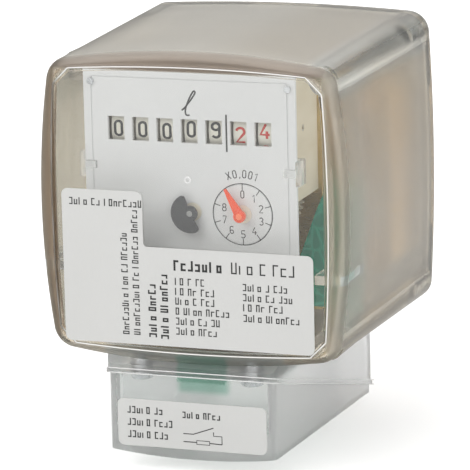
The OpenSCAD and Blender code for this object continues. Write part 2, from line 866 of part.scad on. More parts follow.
module standoffs() {
    color("#c9b071")
    for (at = stud_places) {
        rod_y(at, m2_r, rear_plate_front, rear_plate_back);
        along_y(rear_plate_back, cover_front) translate(at) circle(standoff_r, $fn = 6);
        rod_y(at, m3_tap_r, cover_front, body_front + screw_grip);
    }
}

module follower_rotor() {
    color("#e4e2da")
    difference() {
        union() {
            rod_y(axis_a, rotor_r, rotor_front, rotor_front + rotor_t);
            rod_y(axis_a, arbor_r, (mid_plate_back + mid_plate_front) * half + loose_fit,
                cover_front + pivot_depth - loose_fit);
            rod_y(axis_a, collar_r, rotor_gear_y, rear_plate_front - bush_lip - loose_fit);
            rod_y(axis_a, collar_r, rear_plate_back + bush_lip + loose_fit, rotor_front);
            along_y(rotor_gear_y, rotor_gear_y + gear_t) translate(axis_a)
                gear(rotor_teeth, rotor_module, 180);
        }
        for (s = [-1, 1])
            rod_y(axis_a + [s * rotor_magnet_offset, 0], magnet_r + seat_fit,
                rotor_front + rotor_t - magnet_t, rotor_front + rotor_t + cut);
    }
}

module follower_magnets() {
    color("#6e7276")
    for (s = [-1, 1])
        rod_y(axis_a + [s * rotor_magnet_offset, 0], magnet_r, rotor_front + rotor_t - magnet_t,
            rotor_front + rotor_t);
}

module register_outline() {
    rounded_rect([plate_left, plate_bottom], [plate_right, plate_top], plate_corner_r);
}

module register_rear_plate() {
    color("#c8b27a")
    difference() {
        along_y(rear_plate_front, rear_plate_back) register_outline();
        for (at = [axis_a, axis_i])
            rod_y(at, bush_r + seat_fit, rear_plate_front - cut, rear_plate_back + cut);
        for (at = stud_places) rod_y(at, m2_r + loose_fit, rear_plate_front - cut, rear_plate_back + cut);
        for (at = pillar_places) rod_y(at, m2_r + loose_fit, rear_plate_front - cut, rear_plate_back + cut);
    }
}

module register_mid_plate() {
    color("#c8b27a")
    difference() {
        union() {
            along_y(mid_plate_front, mid_plate_back) register_outline();
            for (at = sensor_posts) rod_y(at, sensor_post_r, sensor_y + sensor_t, mid_plate_front);
        }
        for (at = [axis_a, axis_i]) rod_y(at, bush_r + seat_fit, mid_plate_front - cut, mid_plate_back + cut);
        for (at = pillar_places) rod_y(at, m2_r + loose_fit, mid_plate_front - cut, mid_plate_back + cut);
    }
}

module register_pillars() {
    color("#c9b071")
    difference() {
        for (k = [0:3]) {
            rod_y(pillar_places[k], pillar_r, mid_plate_back, rear_plate_front);
            rod_y(pillar_places[k], m2_r, mid_plate_front, mid_plate_back);
            if (k < 2) {
                rod_y(pillar_places[k], pillar_r, front_plate_back, mid_plate_front);
                rod_y(pillar_places[k], m2_r, dial_back, front_plate_back);
            }
        }
        for (at = pillar_places)
            rod_y(at, m2_tap_r, rear_plate_front - mid_room * half, rear_plate_front + cut);
    }
}

// A cheek of the register frame, drawn in y and z
module cheek(bottom, top, back) {
    translate([front_plate_back, bottom]) square([back - front_plate_back, top - bottom]);
}

module register_frame() {
    color("#e6e4dc")
    difference() {
        union() {
            along_y(dial_back, front_plate_back) register_outline();
            along_x(cheek_left, cheek_left + cheek_t) cheek(cheek_bottom, plate_top, mid_plate_front);
            along_x(cheek_right, cheek_right + cheek_t) cheek(cheek_bottom, plate_top, mid_plate_front);
            along_x(bracket_x - cheek_t, bracket_x)
                cheek(cross_z - bracket_half_h, cross_z + bracket_half_h, bracket_back);
        }
        translate([cheek_left + cheek_t, dial_back - cut, roller_z - roller_r - loose_fit])
            cube([cheek_right - cheek_left - cheek_t, front_plate_t + 2 * cut, 2 * (roller_r + loose_fit)]);
        for (at = [axis_a, axis_i]) rod_y(at, bush_r + seat_fit, dial_back - cut, front_plate_back + cut);
        for (at = [pillar_places[0], pillar_places[1]])
            rod_y(at, m2_r + loose_fit, dial_back - cut, front_plate_back + cut);
        for (at = dial_pin_places())
            rod_y(at, dial_pin_r * half + seat_fit, dial_back - cut, front_plate_back + cut);
        for (at = [roller_axis, transfer_axis])
            rod_x(at, arbor_r + seat_fit, cheek_left - cut, cheek_right + cheek_t + cut);
        rod_x(cross_axis, arbor_r + running_fit, bracket_x - cheek_t - cut, cheek_right + cheek_t + cut);
    }
}

module register_screws() {
    color("#c9ccce")
    for (k = [0:3])
        screw_from_back(pillar_places[k], m2_tap_r, m2_head_r, m2_head_t, rear_plate_back,
            plate_t + mid_room * half);
}

module arbor_bush(at, back, front) {
    difference() {
        rod_y(at, bush_r, front - bush_lip, back + bush_lip);
        rod_y(at, arbor_r + running_fit, front - bush_lip - cut, back + bush_lip + cut);
    }
}

module arbor_bushes() {
    color("#d0b060")
    for (at = [axis_a, axis_i]) {
        arbor_bush(at, rear_plate_back, rear_plate_front);
        arbor_bush(at, mid_plate_back, mid_plate_front);
        arbor_bush(at, front_plate_back, dial_front + bush_lip);
    }
}

module indicator_wheel() {
    color("#e4e2da") {
        rod_y(axis_i, arbor_r, pointer_y + pointer_t, rear_plate_back + bush_lip);
        rod_y(axis_i, collar_r, mid_plate_back + bush_lip + loose_fit,
            rear_plate_front - bush_lip - loose_fit);
        along_y(rotor_gear_y, rotor_gear_y + gear_t) translate(axis_i)
            gear(rotor_teeth, rotor_module, 180 / rotor_teeth);
        along_y(pointer_gear_y - gear_t, pointer_gear_y) translate(axis_i)
            gear(indicator_pinion_teeth, pointer_module, 0);
        rod_y(axis_i, collar_r, pointer_gear_y - gear_t - collar_l, pointer_gear_y);
    }
}

module flow_indicator() {
    color("#5e6062")
    translate([axis_i.x, 0, axis_i.y]) {
        along_y(pointer_y, pointer_y + pointer_t) {
            difference() {
                polygon(concat([[0, 0]], arc([0, 0], indicator_r, indicator_start,
                    indicator_start + indicator_sweep, indicator_steps)));
                circle(indicator_hub_r * half);
            }
            difference() {
                circle(indicator_hub_r);
                circle(indicator_pin_r);
            }
        }
        rod_y([0, 0], indicator_pin_r, pointer_y - thin_gap, pointer_y + pointer_t);
    }
}

module pointer_wheel() {
    color("#e4e2da") {
        rod_y(axis_a, arbor_r, pointer_y + pointer_t, (mid_plate_back + mid_plate_front) * half - loose_fit);
        along_y(pointer_gear_y - gear_t, pointer_gear_y) translate(axis_a)
            gear(pointer_teeth, pointer_module, 180 + 180 / pointer_teeth);
    }
}

module worm() {
    color("#c9b071")
    difference() {
        translate([axis_x, cross_axis.x + worm_l * half, axis_z]) rotate([90, 0, 0])
            linear_extrude(worm_l, twist = -360 * worm_turns, slices = worm_turns * worm_steps,
                $fn = worm_facets)
            rotate(-90 - 180 * worm_turns) translate([worm_wave, 0]) circle(worm_mean_r, $fn = worm_facets);
        rod_y(axis_a, arbor_r + seat_fit, cross_axis.x - worm_l, cross_axis.x + worm_l);
    }
}

module pointer() {
    color("#d8472c")
    translate([axis_x, 0, axis_z]) {
        rod_y([0, 0], pointer_hub_r, pointer_y - pointer_t, pointer_y + pointer_t);
        along_y(pointer_y, pointer_y + pointer_t) rotate(pointer_rest_angle)
            polygon([[-pointer_tail_w, 0], [pointer_tail_w, 0],
                [pointer_tip_w, pointer_l], [-pointer_tip_w, pointer_l]]);
    }
}

// Teeth of the worm wheel: blunt wedges that the worm's wave passes between
function worm_wheel_points(phase) = let (
        tip = worm_wheel_r + worm_wave - worm_gap,
        root = worm_wheel_r - worm_wave - worm_gap,
        step = 360 / worm_wheel_teeth)
    [for (k = [0:worm_wheel_teeth - 1]) let (c = phase + k * step) each [
        polar(root, c - step * worm_root_share), polar(tip, c - step * worm_tip_share),
        polar(tip, c + step * worm_tip_share), polar(root, c + step * worm_root_share)]];

module cross_shaft() {
    color("#e4e2da") {
        rod_x(cross_axis, arbor_r, bracket_x - cheek_t, cheek_right + cheek_t);
        along_x(axis_x - gear_t * half, axis_x + gear_t * half) translate(cross_axis)
            polygon(worm_wheel_points(-90));
        along_x(drive_start + thin_gap, drive_start + roller_side_w) translate(cross_axis)
            gear(drive_teeth, drive_module, drive_angle);
    }
}

module roller_shaft() {
    color("#c9ccce")
    rod_x(roller_axis, arbor_r, cheek_left, cheek_right + cheek_t);
}

module roller(k) {
    left = window_left + k * roller_pitch;
    rim = left + roller_rim_start;
    last = k == roller_count - 1;
    color("#e9e5d8")
    difference() {
        union() {
            rod_x(roller_axis, roller_r, rim, rim + roller_rim_w);
            rod_x(roller_axis, roller_disc_r, rim - roller_disc_w, rim);
            if (k > 0) {
                along_x(rim - roller_disc_w, rim) translate(roller_axis)
                    for (s = [-1, 1]) rotate(transfer_angle + 180 + s * roller_lug_angle * half)
                        translate([0, -roller_lug_w * half]) square([roller_lug_r, roller_lug_w]);
            }
            if (!last) {
                along_x(rim + roller_rim_w, rim + roller_rim_w + roller_side_w) translate(roller_axis)
                    gear(roller_gear_teeth, roller_gear_module, transfer_angle);
            }
            if (last) {
                along_x(rim + roller_rim_w, rim + roller_rim_w + roller_side_w) translate(roller_axis)
                    gear(drive_teeth, drive_module, drive_angle + 180 + 180 / drive_teeth);
            }
        }
        rod_x(roller_axis, arbor_r + running_fit, rim - roller_disc_w - cut,
            rim + roller_rim_w + roller_side_w + cut);
    }
}

module roller_1() { roller(0); }
module roller_2() { roller(1); }
module roller_3() { roller(2); }
module roller_4() { roller(3); }
module roller_5() { roller(4); }
module roller_6() { roller(5); }
module roller_7() { roller(6); }

module transfer_shaft() {
    color("#c9ccce")
    rod_x(transfer_axis, arbor_r, cheek_left, cheek_right + cheek_t);
}

module transfer_pinion(k) {
    left = window_left + k * roller_pitch + roller_rim_start + roller_rim_w + transfer_side_gap;
    right = window_left + (k + 1) * roller_pitch + roller_rim_start - transfer_side_gap;
    color("#e4e2da")
    difference() {
        along_x(left, right) translate(transfer_axis)
            gear(transfer_teeth, roller_gear_module, transfer_angle + 180 + 180 / transfer_teeth);
        rod_x(transfer_axis, arbor_r + running_fit, left - cut, right + cut);
    }
}

module transfer_pinion_1() { transfer_pinion(0); }
module transfer_pinion_2() { transfer_pinion(1); }
module transfer_pinion_3() { transfer_pinion(2); }
module transfer_pinion_4() { transfer_pinion(3); }
module transfer_pinion_5() { transfer_pinion(4); }
module transfer_pinion_6() { transfer_pinion(5); }

function dial_pin_places() = [[dial_left + dial_pin_inset.x, dial_top - dial_pin_inset.y],
    [dial_right - dial_pin_inset.x, dial_top - dial_pin_inset.y]];

module dial_plate() {
    inner_low = [dial_left + frame_line_inset, dial_bottom + frame_line_inset];
    inner_high = [dial_right - frame_line_inset, dial_top - frame_line_inset];
    line = [frame_line_w, frame_line_w];
    groove_back = dial_front + frame_line_depth;
    color("#d9dada")
    difference() {
        along_y(dial_front, dial_back)
            rounded_rect([dial_left, dial_bottom], [dial_right, dial_top], dial_corner_r);
        for (k = [0:roller_count - 1])
            translate([window_left + k * roller_pitch, dial_front - cut, roller_z - roller_window_h * half])
            cube([roller_window_w, dial_t + 2 * cut, roller_window_h]);
        for (at = [axis_a, axis_i]) rod_y(at, bush_r + seat_fit, dial_front - cut, dial_back + cut);
        for (at = dial_pin_places())
            rod_y(at, dial_pin_r * half + seat_fit, dial_front - cut, dial_back + cut);
        along_y(dial_front - cut, groove_back) difference() {
            rounded_rect(inner_low, inner_high, dial_corner_r);
            rounded_rect(inner_low + line, inner_high - line, dial_corner_r);
        }
        along_y(dial_front - cut, groove_back) translate([axis_x, axis_z]) difference() {
            circle(scale_r);
            circle(scale_r - scale_groove_w);
        }
        along_y(dial_front - cut, groove_back) translate([bar_x, roller_z - bar_h * half])
            square([bar_w, bar_h]);
    }
}

module dial_pins() {
    color("#c9ccce")
    for (at = dial_pin_places()) {
        rod_y(at, dial_pin_r, dial_front - dial_pin_t, dial_front);
        rod_y(at, dial_pin_r * half, dial_front, front_plate_back);
    }
}

// A clip over one edge of the dial plate, drawn for the left edge
module clip(edge, way) {
    outer = edge - way * (clip_t + thin_gap);
    inner = edge + way * clip_reach;
    hook = edge + way * (plate_inset + clip_t * half);
    low_x = min(outer, inner);
    foot_x = min(outer, edge - way * thin_gap);
    translate([low_x, dial_front - clip_t, clip_z - clip_h * half])
        cube([abs(inner - outer), clip_t, clip_h]);
    translate([foot_x, dial_front - clip_t, clip_z - clip_foot_h * half])
        cube([clip_t, front_plate_back + 2 * clip_t - dial_front, clip_foot_h]);
    translate([min(outer, hook), front_plate_back, clip_z - clip_foot_h * half])
        cube([abs(hook - outer), clip_t, clip_foot_h]);
}

module dial_clips() {
    color("#dfe3e4", 0.6) {
        clip(dial_left, 1);
        clip(dial_right, -1);
    }
}

module data_label() {
    color("#dfe0da")
    along_y(hood_front - label_t, hood_front) {
        rounded_rect([label_left, label_bottom], [label_side_right, label_side_top], label_corner_r);
        rounded_rect([label_left, label_bottom], [label_right, label_low_top], label_corner_r);
    }
}

module contact_label() {
    top = case_top - case_front_h + case_belly + contact_label_h + contact_label_gap;
    color("#dfe0da")
    along_y(case_front + cap_step - label_t, case_front + cap_step)
        rounded_rect([case_x - contact_label_w * half, top - contact_label_h],
            [case_x + contact_label_w * half, top], label_corner_r);
}

// Height of the parting line at a depth
function parting_z(y) = case_top - parting_drop - (y - case_front) * tan(parting_slope);

// Side profile of the upper case between its top and the parting line, drawn in y and z
module upper_profile() {
    polygon([[case_front, case_top], [case_front + case_rise, case_top + case_rise],
        [case_back, case_top + case_rise], [case_back, parting_z(case_back)],
        [case_front, parting_z(case_front)]]);
}

// Side profile of the rib along the lower edge of the upper case
module rib_profile() {
    start = case_front - rib_out;
    polygon([for (q = [[start, rib_h], [case_back, rib_h], [case_back, 0], [start, 0]])
        [q.x, parting_z(q.x) + q.y]]);
}

// Side profile of the cap between the parting line and its bottom
module cap_profile(inset, drop) {
    front = case_front + cap_step + inset;
    back = case_back - cap_step - inset;
    floor_front = case_bottom + inset;
    floor_back = case_bottom - case_rear_drop + inset;
    r = max(case_rear_r - inset, thin_gap);
    polygon(concat([[front, parting_z(front) - drop], [front, floor_front]],
        arc([back - r, floor_back + r], r, -90, 0, outline_steps), [[back, parting_z(back) - drop]]));
}

// A block under which the cap's floor swells downwards, sloping down to the rear
module cap_belly() {
    n = 2 * outline_steps + 1;
    translate([case_x, case_front, case_bottom]) rotate([-atan(case_rear_drop / case_depth), 0, 0])
        along_y(-cap_step, case_depth + case_rear_drop)
        polygon(concat([[case_w * half, 2 * case_front_h], [-case_w * half, 2 * case_front_h]],
            [for (i = [0:n]) let (t = 2 * i / n - 1) [t * case_w * half, case_belly * t * t]]));
}

// Plan of the lower case, drawn in x and y
module case_plan(inset) {
    rounded_rect([case_left + inset, case_front + inset], [case_right - inset, case_back - inset],
        max(case_corner_r - inset, thin_gap));
}

module pulser_case() {
    color("#dcdcda", 0.6)
    difference() {
        union() {
            intersection() {
                along_x(case_left, case_right) upper_profile();
                along_z(case_bottom - case_rear_drop, case_top + case_rise) case_plan(0);
            }
            intersection() {
                along_x(case_left - rib_out, case_right + rib_out) rib_profile();
                along_z(case_bottom - case_rear_drop, case_top) case_plan(-rib_out);
            }
        }
        intersection() {
            along_x(case_left - cut, case_right + cut) polygon([
                [case_front + case_wall, case_top - case_wall], [case_back - case_wall, case_top - case_wall],
                [case_back - case_wall, parting_z(case_back) - case_front_h],
                [case_front + case_wall, parting_z(case_front) - case_front_h]]);
            along_z(case_top - 2 * case_front_h - case_rear_drop, case_top) case_plan(case_wall);
        }
        lead_slot(case_top - case_wall - cut, case_top + case_rise + cut);
        rod_x([gland_y, gland_z], gland_thread_r + seat_fit, case_left - cut, case_left + case_wall + cut);
        for (at = case_screw_places())
            rod_z(at, m3_tap_r + seat_fit, case_top - case_wall - cut, case_top + case_rise + cut);
        hood_form(-thin_gap, 0, 0);
    }
    for (at = cap_post_places()) {
        difference() {
            rod_z(at, cap_post_r, cap_post_end, case_top - case_wall);
            rod_z(at, m2_tap_r + seat_fit, cap_post_end - cut, cap_post_end + 2 * screw_grip + cut);
        }
    }
}

module pulser_cap() {
    color("#cfd0ce", 0.6)
    difference() {
        union() {
            difference() {
                intersection() {
                    along_x(case_left + cap_step, case_right - cap_step) cap_profile(0, seat_fit);
                    along_z(case_bottom - case_rear_drop - cut, case_top) case_plan(cap_step);
                    cap_belly();
                }
                intersection() {
                    along_x(case_left - cut, case_right + cut) cap_profile(case_wall, -2 * case_wall);
                    along_z(case_bottom - case_rear_drop - cut, case_top + cut)
                        case_plan(cap_step + case_wall);
                }
            }
            for (at = cap_post_places())
                rod_z(at, cap_post_r + case_wall * half, cap_floor(at.y) + case_wall * half, cap_post_end);
        }
        for (at = cap_post_places()) {
            rod_z(at, m2_r + loose_fit, cap_floor(at.y) - case_wall, cap_post_end + cut);
            rod_z(at, m2_head_r + loose_fit, cap_floor(at.y) - case_wall, cap_post_end - case_wall);
        }
    }
}

// Places of the screws that hold the upper case under the hood, and of the posts that take the cap's screws
function case_screw_places() = [for (s = [-1, 1], y = [case_front + case_screw_inset,
    case_back - case_screw_rear_inset]) [case_x + s * case_screw_x, y]];
function cap_post_places() = [for (s = [-1, 1]) [case_x + s * cap_post_x, case_back - cap_post_inset]];
function cap_floor(y) = case_bottom - case_rear_drop * (y - case_front) / case_depth;
cap_post_y = case_back - cap_post_inset;
cap_post_end = cap_floor(cap_post_y) + case_wall + cap_boss_h;

module case_screws() {
    color("#c9ccce") {
        for (at = case_screw_places())
            screw_up(at, m3_tap_r, m3_head_r, m3_head_t, case_top - case_wall, case_wall + hood_wall);
        for (at = cap_post_places())
            screw_up(at, m2_tap_r, m2_head_r, m2_head_t, cap_post_end - case_wall,
                case_wall + 2 * screw_grip);
    }
}

module pulser_board() {
    color("#3f8a78")
    translate([case_x - board_w * half, board_front, case_top - case_wall - board_t])
        cube([board_w, board_l, board_t]);
}

// Places across the block, one for each terminal
function terminal_places() = [for (k = [0:terminal_count - 1])
    terminal_x + (k - (terminal_count - 1) * half) * terminal_pitch];
terminal_bottom = case_top - case_wall - board_t - block_h_terminal;
terminal_screw_y = terminal_front + terminal_screw_inset;

module terminal_block() {
    color("#5faa94")
    difference() {
        translate([terminal_x - block_w_terminal * half, terminal_front, terminal_bottom])
            cube([block_w_terminal, block_l_terminal, block_h_terminal]);
        for (x = terminal_places()) {
            rod_z([x, terminal_screw_y], m2_head_r + seat_fit, terminal_bottom - cut,
                terminal_bottom + terminal_well);
            rod_z([x, terminal_screw_y], m2_tap_r, terminal_bottom,
                terminal_bottom + terminal_well + m2_head_t * 2);
            rod_y([x, terminal_bottom + terminal_well + m2_head_t], terminal_entry_r, terminal_front - cut,
                terminal_front + terminal_entry_depth);
        }
    }
}

module terminal_screws() {
    color("#c9ccce")
    for (x = terminal_places())
        screw_up([x, terminal_screw_y], m2_tap_r, m2_head_r, m2_head_t, terminal_bottom + terminal_well,
            m2_head_t * 2);
}

// The board stands behind the dial's right edge, its left side cut back in a slope
module sensor_board() {
    color("#3f8a78")
    difference() {
        along_y(sensor_y, sensor_y + sensor_t)
            polygon([for (share = sensor_outline_shares) on_sensor(share)]);
        rod_y(pillar_places[1], pillar_r + loose_fit, sensor_y - cut, sensor_y + sensor_t + cut);
    }
}

module reed_switch() {
    top = reed_z + reed_l * half;
    bottom = reed_z - reed_l * half;
    color("#cfd8da", 0.6)
    rod_z([reed_x, reed_y], reed_r, bottom, top);
    color("#c9ccce")
    for (z = [bottom, top]) {
        end = z < reed_z ? z - reed_lead_run : z + reed_lead_run;
        rod_z([reed_x, reed_y], reed_lead_r, min(z, end), max(z, end));
        translate([reed_x, reed_y, end]) sphere(reed_lead_r);
        rod_y([reed_x, end], reed_lead_r, sensor_y + sensor_t, reed_y);
    }
}

module sensor_leads() {
    color("#c9ccce")
    for (x = lead_places) rod_z([x, lead_y], lead_r, case_top - case_wall, sensor_lead_top);
}

module cable_gland() {
    color("#8f9396")
    difference() {
        union() {
            rod_x([gland_y, gland_z], gland_flange_r, gland_face, case_left);
            rod_x([gland_y, gland_z], gland_thread_r, case_left, case_left + case_wall + gland_lock_t);
            along_x(case_left + case_wall, case_left + case_wall + gland_lock_t)
                translate([gland_y, gland_z]) circle(gland_lock_r, $fn = 6);
            along_x(gland_face - gland_nut_t, gland_face)
                translate([gland_y, gland_z]) circle(gland_nut_r, $fn = 6);
            rod_x([gland_y, gland_z], gland_dome_r, gland_end, gland_face - gland_nut_t);
        }
        rod_x([gland_y, gland_z], cable_r, gland_end - cut, case_left + case_wall + gland_lock_t + cut);
    }
}

meter_body();
oval_gear_a();
oval_gear_b();
gear_axles();
drive_magnets();
chamber_seal();
chamber_cover();
cover_screws();
inlet_strainer();
strainer_ring();
base_plate();
base_screws();
hood_seal();
hood();
hood_screws();
standoffs();
follower_rotor();
follower_magnets();
register_rear_plate();
register_mid_plate();
register_pillars();
register_frame();
register_screws();
arbor_bushes();
indicator_wheel();
flow_indicator();
pointer_wheel();
worm();
pointer();
cross_shaft();
roller_shaft();
roller_1();
roller_2();
roller_3();
roller_4();
roller_5();
roller_6();
roller_7();
transfer_shaft();
transfer_pinion_1();
transfer_pinion_2();
transfer_pinion_3();
transfer_pinion_4();
transfer_pinion_5();
transfer_pinion_6();
dial_plate();
dial_pins();
dial_clips();
data_label();
contact_label();
pulser_case();
pulser_cap();
case_screws();
pulser_board();
terminal_block();
terminal_screws();
sensor_board();
reed_switch();
sensor_leads();
cable_gland();
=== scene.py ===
"""Finish of an oval gear flow meter: clear hood, printed dial, numeral rollers, labels, lower case and metal body."""

import json
import logging
import math
from contextlib import contextmanager
from dataclasses import dataclass
from enum import Enum
from functools import cache
from typing import Callable, Iterable, Iterator, Mapping, Sequence

import bmesh
import bpy
from mathutils import Matrix, Vector


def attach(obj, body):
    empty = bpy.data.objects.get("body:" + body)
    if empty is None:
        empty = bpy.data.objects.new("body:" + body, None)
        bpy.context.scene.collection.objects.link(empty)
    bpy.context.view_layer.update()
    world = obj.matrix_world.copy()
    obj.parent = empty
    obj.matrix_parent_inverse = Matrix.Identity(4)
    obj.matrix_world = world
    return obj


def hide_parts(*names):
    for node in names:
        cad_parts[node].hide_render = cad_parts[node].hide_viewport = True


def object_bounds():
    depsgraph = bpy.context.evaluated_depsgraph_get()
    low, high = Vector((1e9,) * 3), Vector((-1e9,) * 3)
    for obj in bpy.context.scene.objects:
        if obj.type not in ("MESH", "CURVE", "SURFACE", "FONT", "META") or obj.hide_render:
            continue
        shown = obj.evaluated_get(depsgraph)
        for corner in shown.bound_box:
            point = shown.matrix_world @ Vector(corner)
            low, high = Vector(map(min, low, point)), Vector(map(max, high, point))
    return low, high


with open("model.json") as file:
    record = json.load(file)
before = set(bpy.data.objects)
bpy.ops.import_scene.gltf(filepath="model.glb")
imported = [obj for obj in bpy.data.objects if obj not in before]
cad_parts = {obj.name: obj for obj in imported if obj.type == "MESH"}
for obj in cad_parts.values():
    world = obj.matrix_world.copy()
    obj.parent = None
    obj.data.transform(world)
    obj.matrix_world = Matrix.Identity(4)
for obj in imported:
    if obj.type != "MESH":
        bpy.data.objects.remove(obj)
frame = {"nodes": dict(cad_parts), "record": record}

LOG = logging.getLogger("flow_meter")
MM = 0.001  # lengths here are in millimetres, the frame is in metres
PIXELS = 470  # width of the photograph, which the focal length refers to
PRINT_T = 0.03  # thickness of a printed bar
PRINT_UP = 0.01  # from a printed surface to the middle of its print
STROKE_DEPTH = 0.12  # depth of a printed stroke, as a share of its width
MERGED = 0.000002  # corners nearer to each other than this are one, in metres
FRONT_TO_BACK = (math.pi / 2, 0.0, 0.0)  # turns a round primitive's axis onto Y
CAD_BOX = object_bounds()
Piece = bpy.types.Object
Point = Sequence[float]
Pair = tuple[float, float]
Triple = tuple[float, float, float]


class Tilt(Enum):
    """How a row of marks runs on a label."""

    LEVEL = 0.0
    UPRIGHT = 90.0


def tone(code: str) -> tuple[float, float, float, float]:
    """Turns a screen colour, as six hexadecimal digits, into the renderer's opaque linear colour."""
    parts = [int(code[i : i + 2], 16) / 255 for i in (0, 2, 4)]
    line = [p / 12.92 if p <= 0.04045 else ((p + 0.055) / 1.055) ** 2.4 for p in parts]
    return (line[0], line[1], line[2], 1.0)


class Value:
    """A shader socket that takes part in Python expressions."""

    def __init__(self, paint: "Paint", socket: bpy.types.NodeSocket) -> None:
        """Keeps the socket and the node tree that it belongs to."""
        self.paint = paint
        self.socket = socket

    def _math(self, operation: str, left: object, right: object) -> "Value":
        """Adds one Math node and returns its result."""
        return self.paint.node("ShaderNodeMath", {0: left, 1: right}, operation=operation)

    def __add__(self, other: object) -> "Value":
        """Sum with a number or value."""
        return self._math("ADD", self, other)

    def __sub__(self, other: object) -> "Value":
        """Difference from a number or value."""
        return self._math("SUBTRACT", self, other)

    def __rsub__(self, other: object) -> "Value":
        """Difference of a number and this value."""
        return self._math("SUBTRACT", other, self)

    def __mul__(self, other: object) -> "Value":
        """Product with a number or value."""
        return self._math("MULTIPLY", self, other)

    def size(self) -> "Value":
        """The value without its sign."""
        return self._math("ABSOLUTE", self, 0.0)

    def larger(self, other: object) -> "Value":
        """The larger of two values."""
        return self._math("MAXIMUM", self, other)

    def ramp(self, low: float, high: float) -> "Value":
        """A smooth rise from 0 at low to 1 at high."""
        ends = {"Value": self, "From Min": low, "From Max": high}
        return self.paint.node("ShaderNodeMapRange", ends, interpolation_type="SMOOTHSTEP")

    def step(self, at: float, soft: float) -> "Value":
        """A smooth rise from 0 to 1 about a place and as far to each side as is said, in millimetres."""
        return self.ramp((at - soft) * MM, (at + soft) * MM)


class Paint:
    """One material, or the world, under construction."""

    def __init__(self, name: str, world: bool = False) -> None:
        """Starts an empty node tree with an output."""
        self.owner = (bpy.data.worlds if world else bpy.data.materials).new(name)
        self.owner.use_nodes = True
        self.tree = self.owner.node_tree
        self.tree.nodes.clear()
        self.output = self.tree.nodes.new("ShaderNodeOutputWorld" if world else "ShaderNodeOutputMaterial")

    def node(
        self, kind: str, inputs: Mapping[int | str, object] | None = None, output: int | str = 0, **settings: object
    ) -> Value:
        """Adds a node of any kind.

        Args:
            kind: The node's type.
            inputs: Values or links of its sockets.
            output: The socket that is returned.
            settings: The node's settings, set before its inputs.

        Returns:
            The chosen output as a value.
        """
        made = self.tree.nodes.new(kind)
        for key, value in settings.items():
            setattr(made, key, value)
        for key, value in (inputs or {}).items():
            if isinstance(value, Value):
                self.tree.links.new(value.socket, made.inputs[key])
            else:
                made.inputs[key].default_value = value
        return Value(self, made.outputs[output])

    def place(self) -> Value:
        """The piece's own coordinates."""
        return self.node("ShaderNodeTexCoord", output="Object")

    def axis(self, name: str) -> Value:
        """One of the piece's own coordinates, in metres."""
        return self.node("ShaderNodeSeparateXYZ", {0: self.place()}, name)

    def noise(self, scale: float, detail: float = 3.0, stretch: Point = (1, 1, 1)) -> Value:
        """Soft variation whose features are about 1 / scale metres wide."""
        at = self.node("ShaderNodeMapping", {"Vector": self.place(), "Scale": tuple(stretch)})
        return self.node("ShaderNodeTexNoise", {"Vector": at, "Scale": scale, "Detail": detail})

    def mix(self, share: object, first: object, second: object) -> Value:
        """A colour between two colours."""
        return self.node("ShaderNodeMix", {0: share, 6: first, 7: second}, 2, data_type="RGBA")

    def bump(self, height: Value, strength: float, depth: float) -> Value:
        """A normal bent by a height."""
        return self.node("ShaderNodeBump", {"Height": height, "Strength": strength, "Distance": depth})

    def rays(self, first: str, second: str) -> Value:
        """Whether a ray is of one of two kinds."""
        kinds = [self.node("ShaderNodeLightPath", output=f"Is {kind} Ray") for kind in (first, second)]
        return kinds[0].larger(kinds[1])

    def surface(self, **inputs: object) -> Value:
        """A main surface shader; underscores in names stand for spaces."""
        return self.node("ShaderNodeBsdfPrincipled", {k.replace("_", " "): v for k, v in inputs.items()})

    def close(self, shader: Value) -> bpy.types.ID:
        """Joins the shader to the output and returns the material or world."""
        self.tree.links.new(shader.socket, self.output.inputs["Surface"])
        return self.owner


@dataclass(frozen=True)
class Finish:
    """A finish whose colour varies between two tones."""

    name: str
    light: str
    dark: str

    def blend(self, paint: Paint, share: Value) -> Value:
        """A colour between the light and the dark tone."""
        return paint.mix(share, tone(self.light), tone(self.dark))

    def shader(self, paint: Paint) -> Value:
        """Adds the nodes of this kind of finish."""
        raise NotImplementedError

    def make(self) -> bpy.types.Material:
        """Builds the material."""
        paint = Paint(self.name)
        return paint.close(self.shader(paint))


@dataclass(frozen=True)
class Metal(Finish):
    """Bare metal with tool marks, stains and worn patches."""

    roughness: float
    grain: float
    stretch: Triple = (1.0, 1.0, 1.0)
    relief: float = 0.00002
    metallic: float = 1.0

    def shader(self, paint: Paint) -> Value:
        """Stains in the colour, tool marks in the relief."""
        stain = paint.noise(90, 4)
        mark = paint.noise(self.grain, 5, self.stretch)
        return paint.surface(
            Base_Color=self.blend(paint, stain * 1.6 - 0.3),
            Metallic=self.metallic,
            Roughness=(mark - 0.5) * 0.25 + stain * 0.12 + (self.roughness - 0.06),
            Normal=paint.bump(mark, 0.5, self.relief),
        )


@dataclass(frozen=True)
class Moulded(Finish):
    """Opaque moulded plastic, rubber or lacquer with faint flow marks."""

    roughness: float
    grain: float = 1400.0
    relief: float = 0.00002
    gloss: float = 0.0

    def shader(self, paint: Paint) -> Value:
        """Flow marks in the colour, a fine skin in the relief."""
        flow = paint.noise(70, 3, (1, 1, 2.5))
        skin = paint.noise(self.grain, 4)
        return paint.surface(
            Base_Color=self.blend(paint, flow * 1.4 - 0.2),
            Roughness=skin * 0.12 + flow * 0.08 + (self.roughness - 0.1),
            Normal=paint.bump(skin, 0.35, self.relief),
            Coat_Weight=self.gloss,
            Coat_Roughness=0.12,
        )


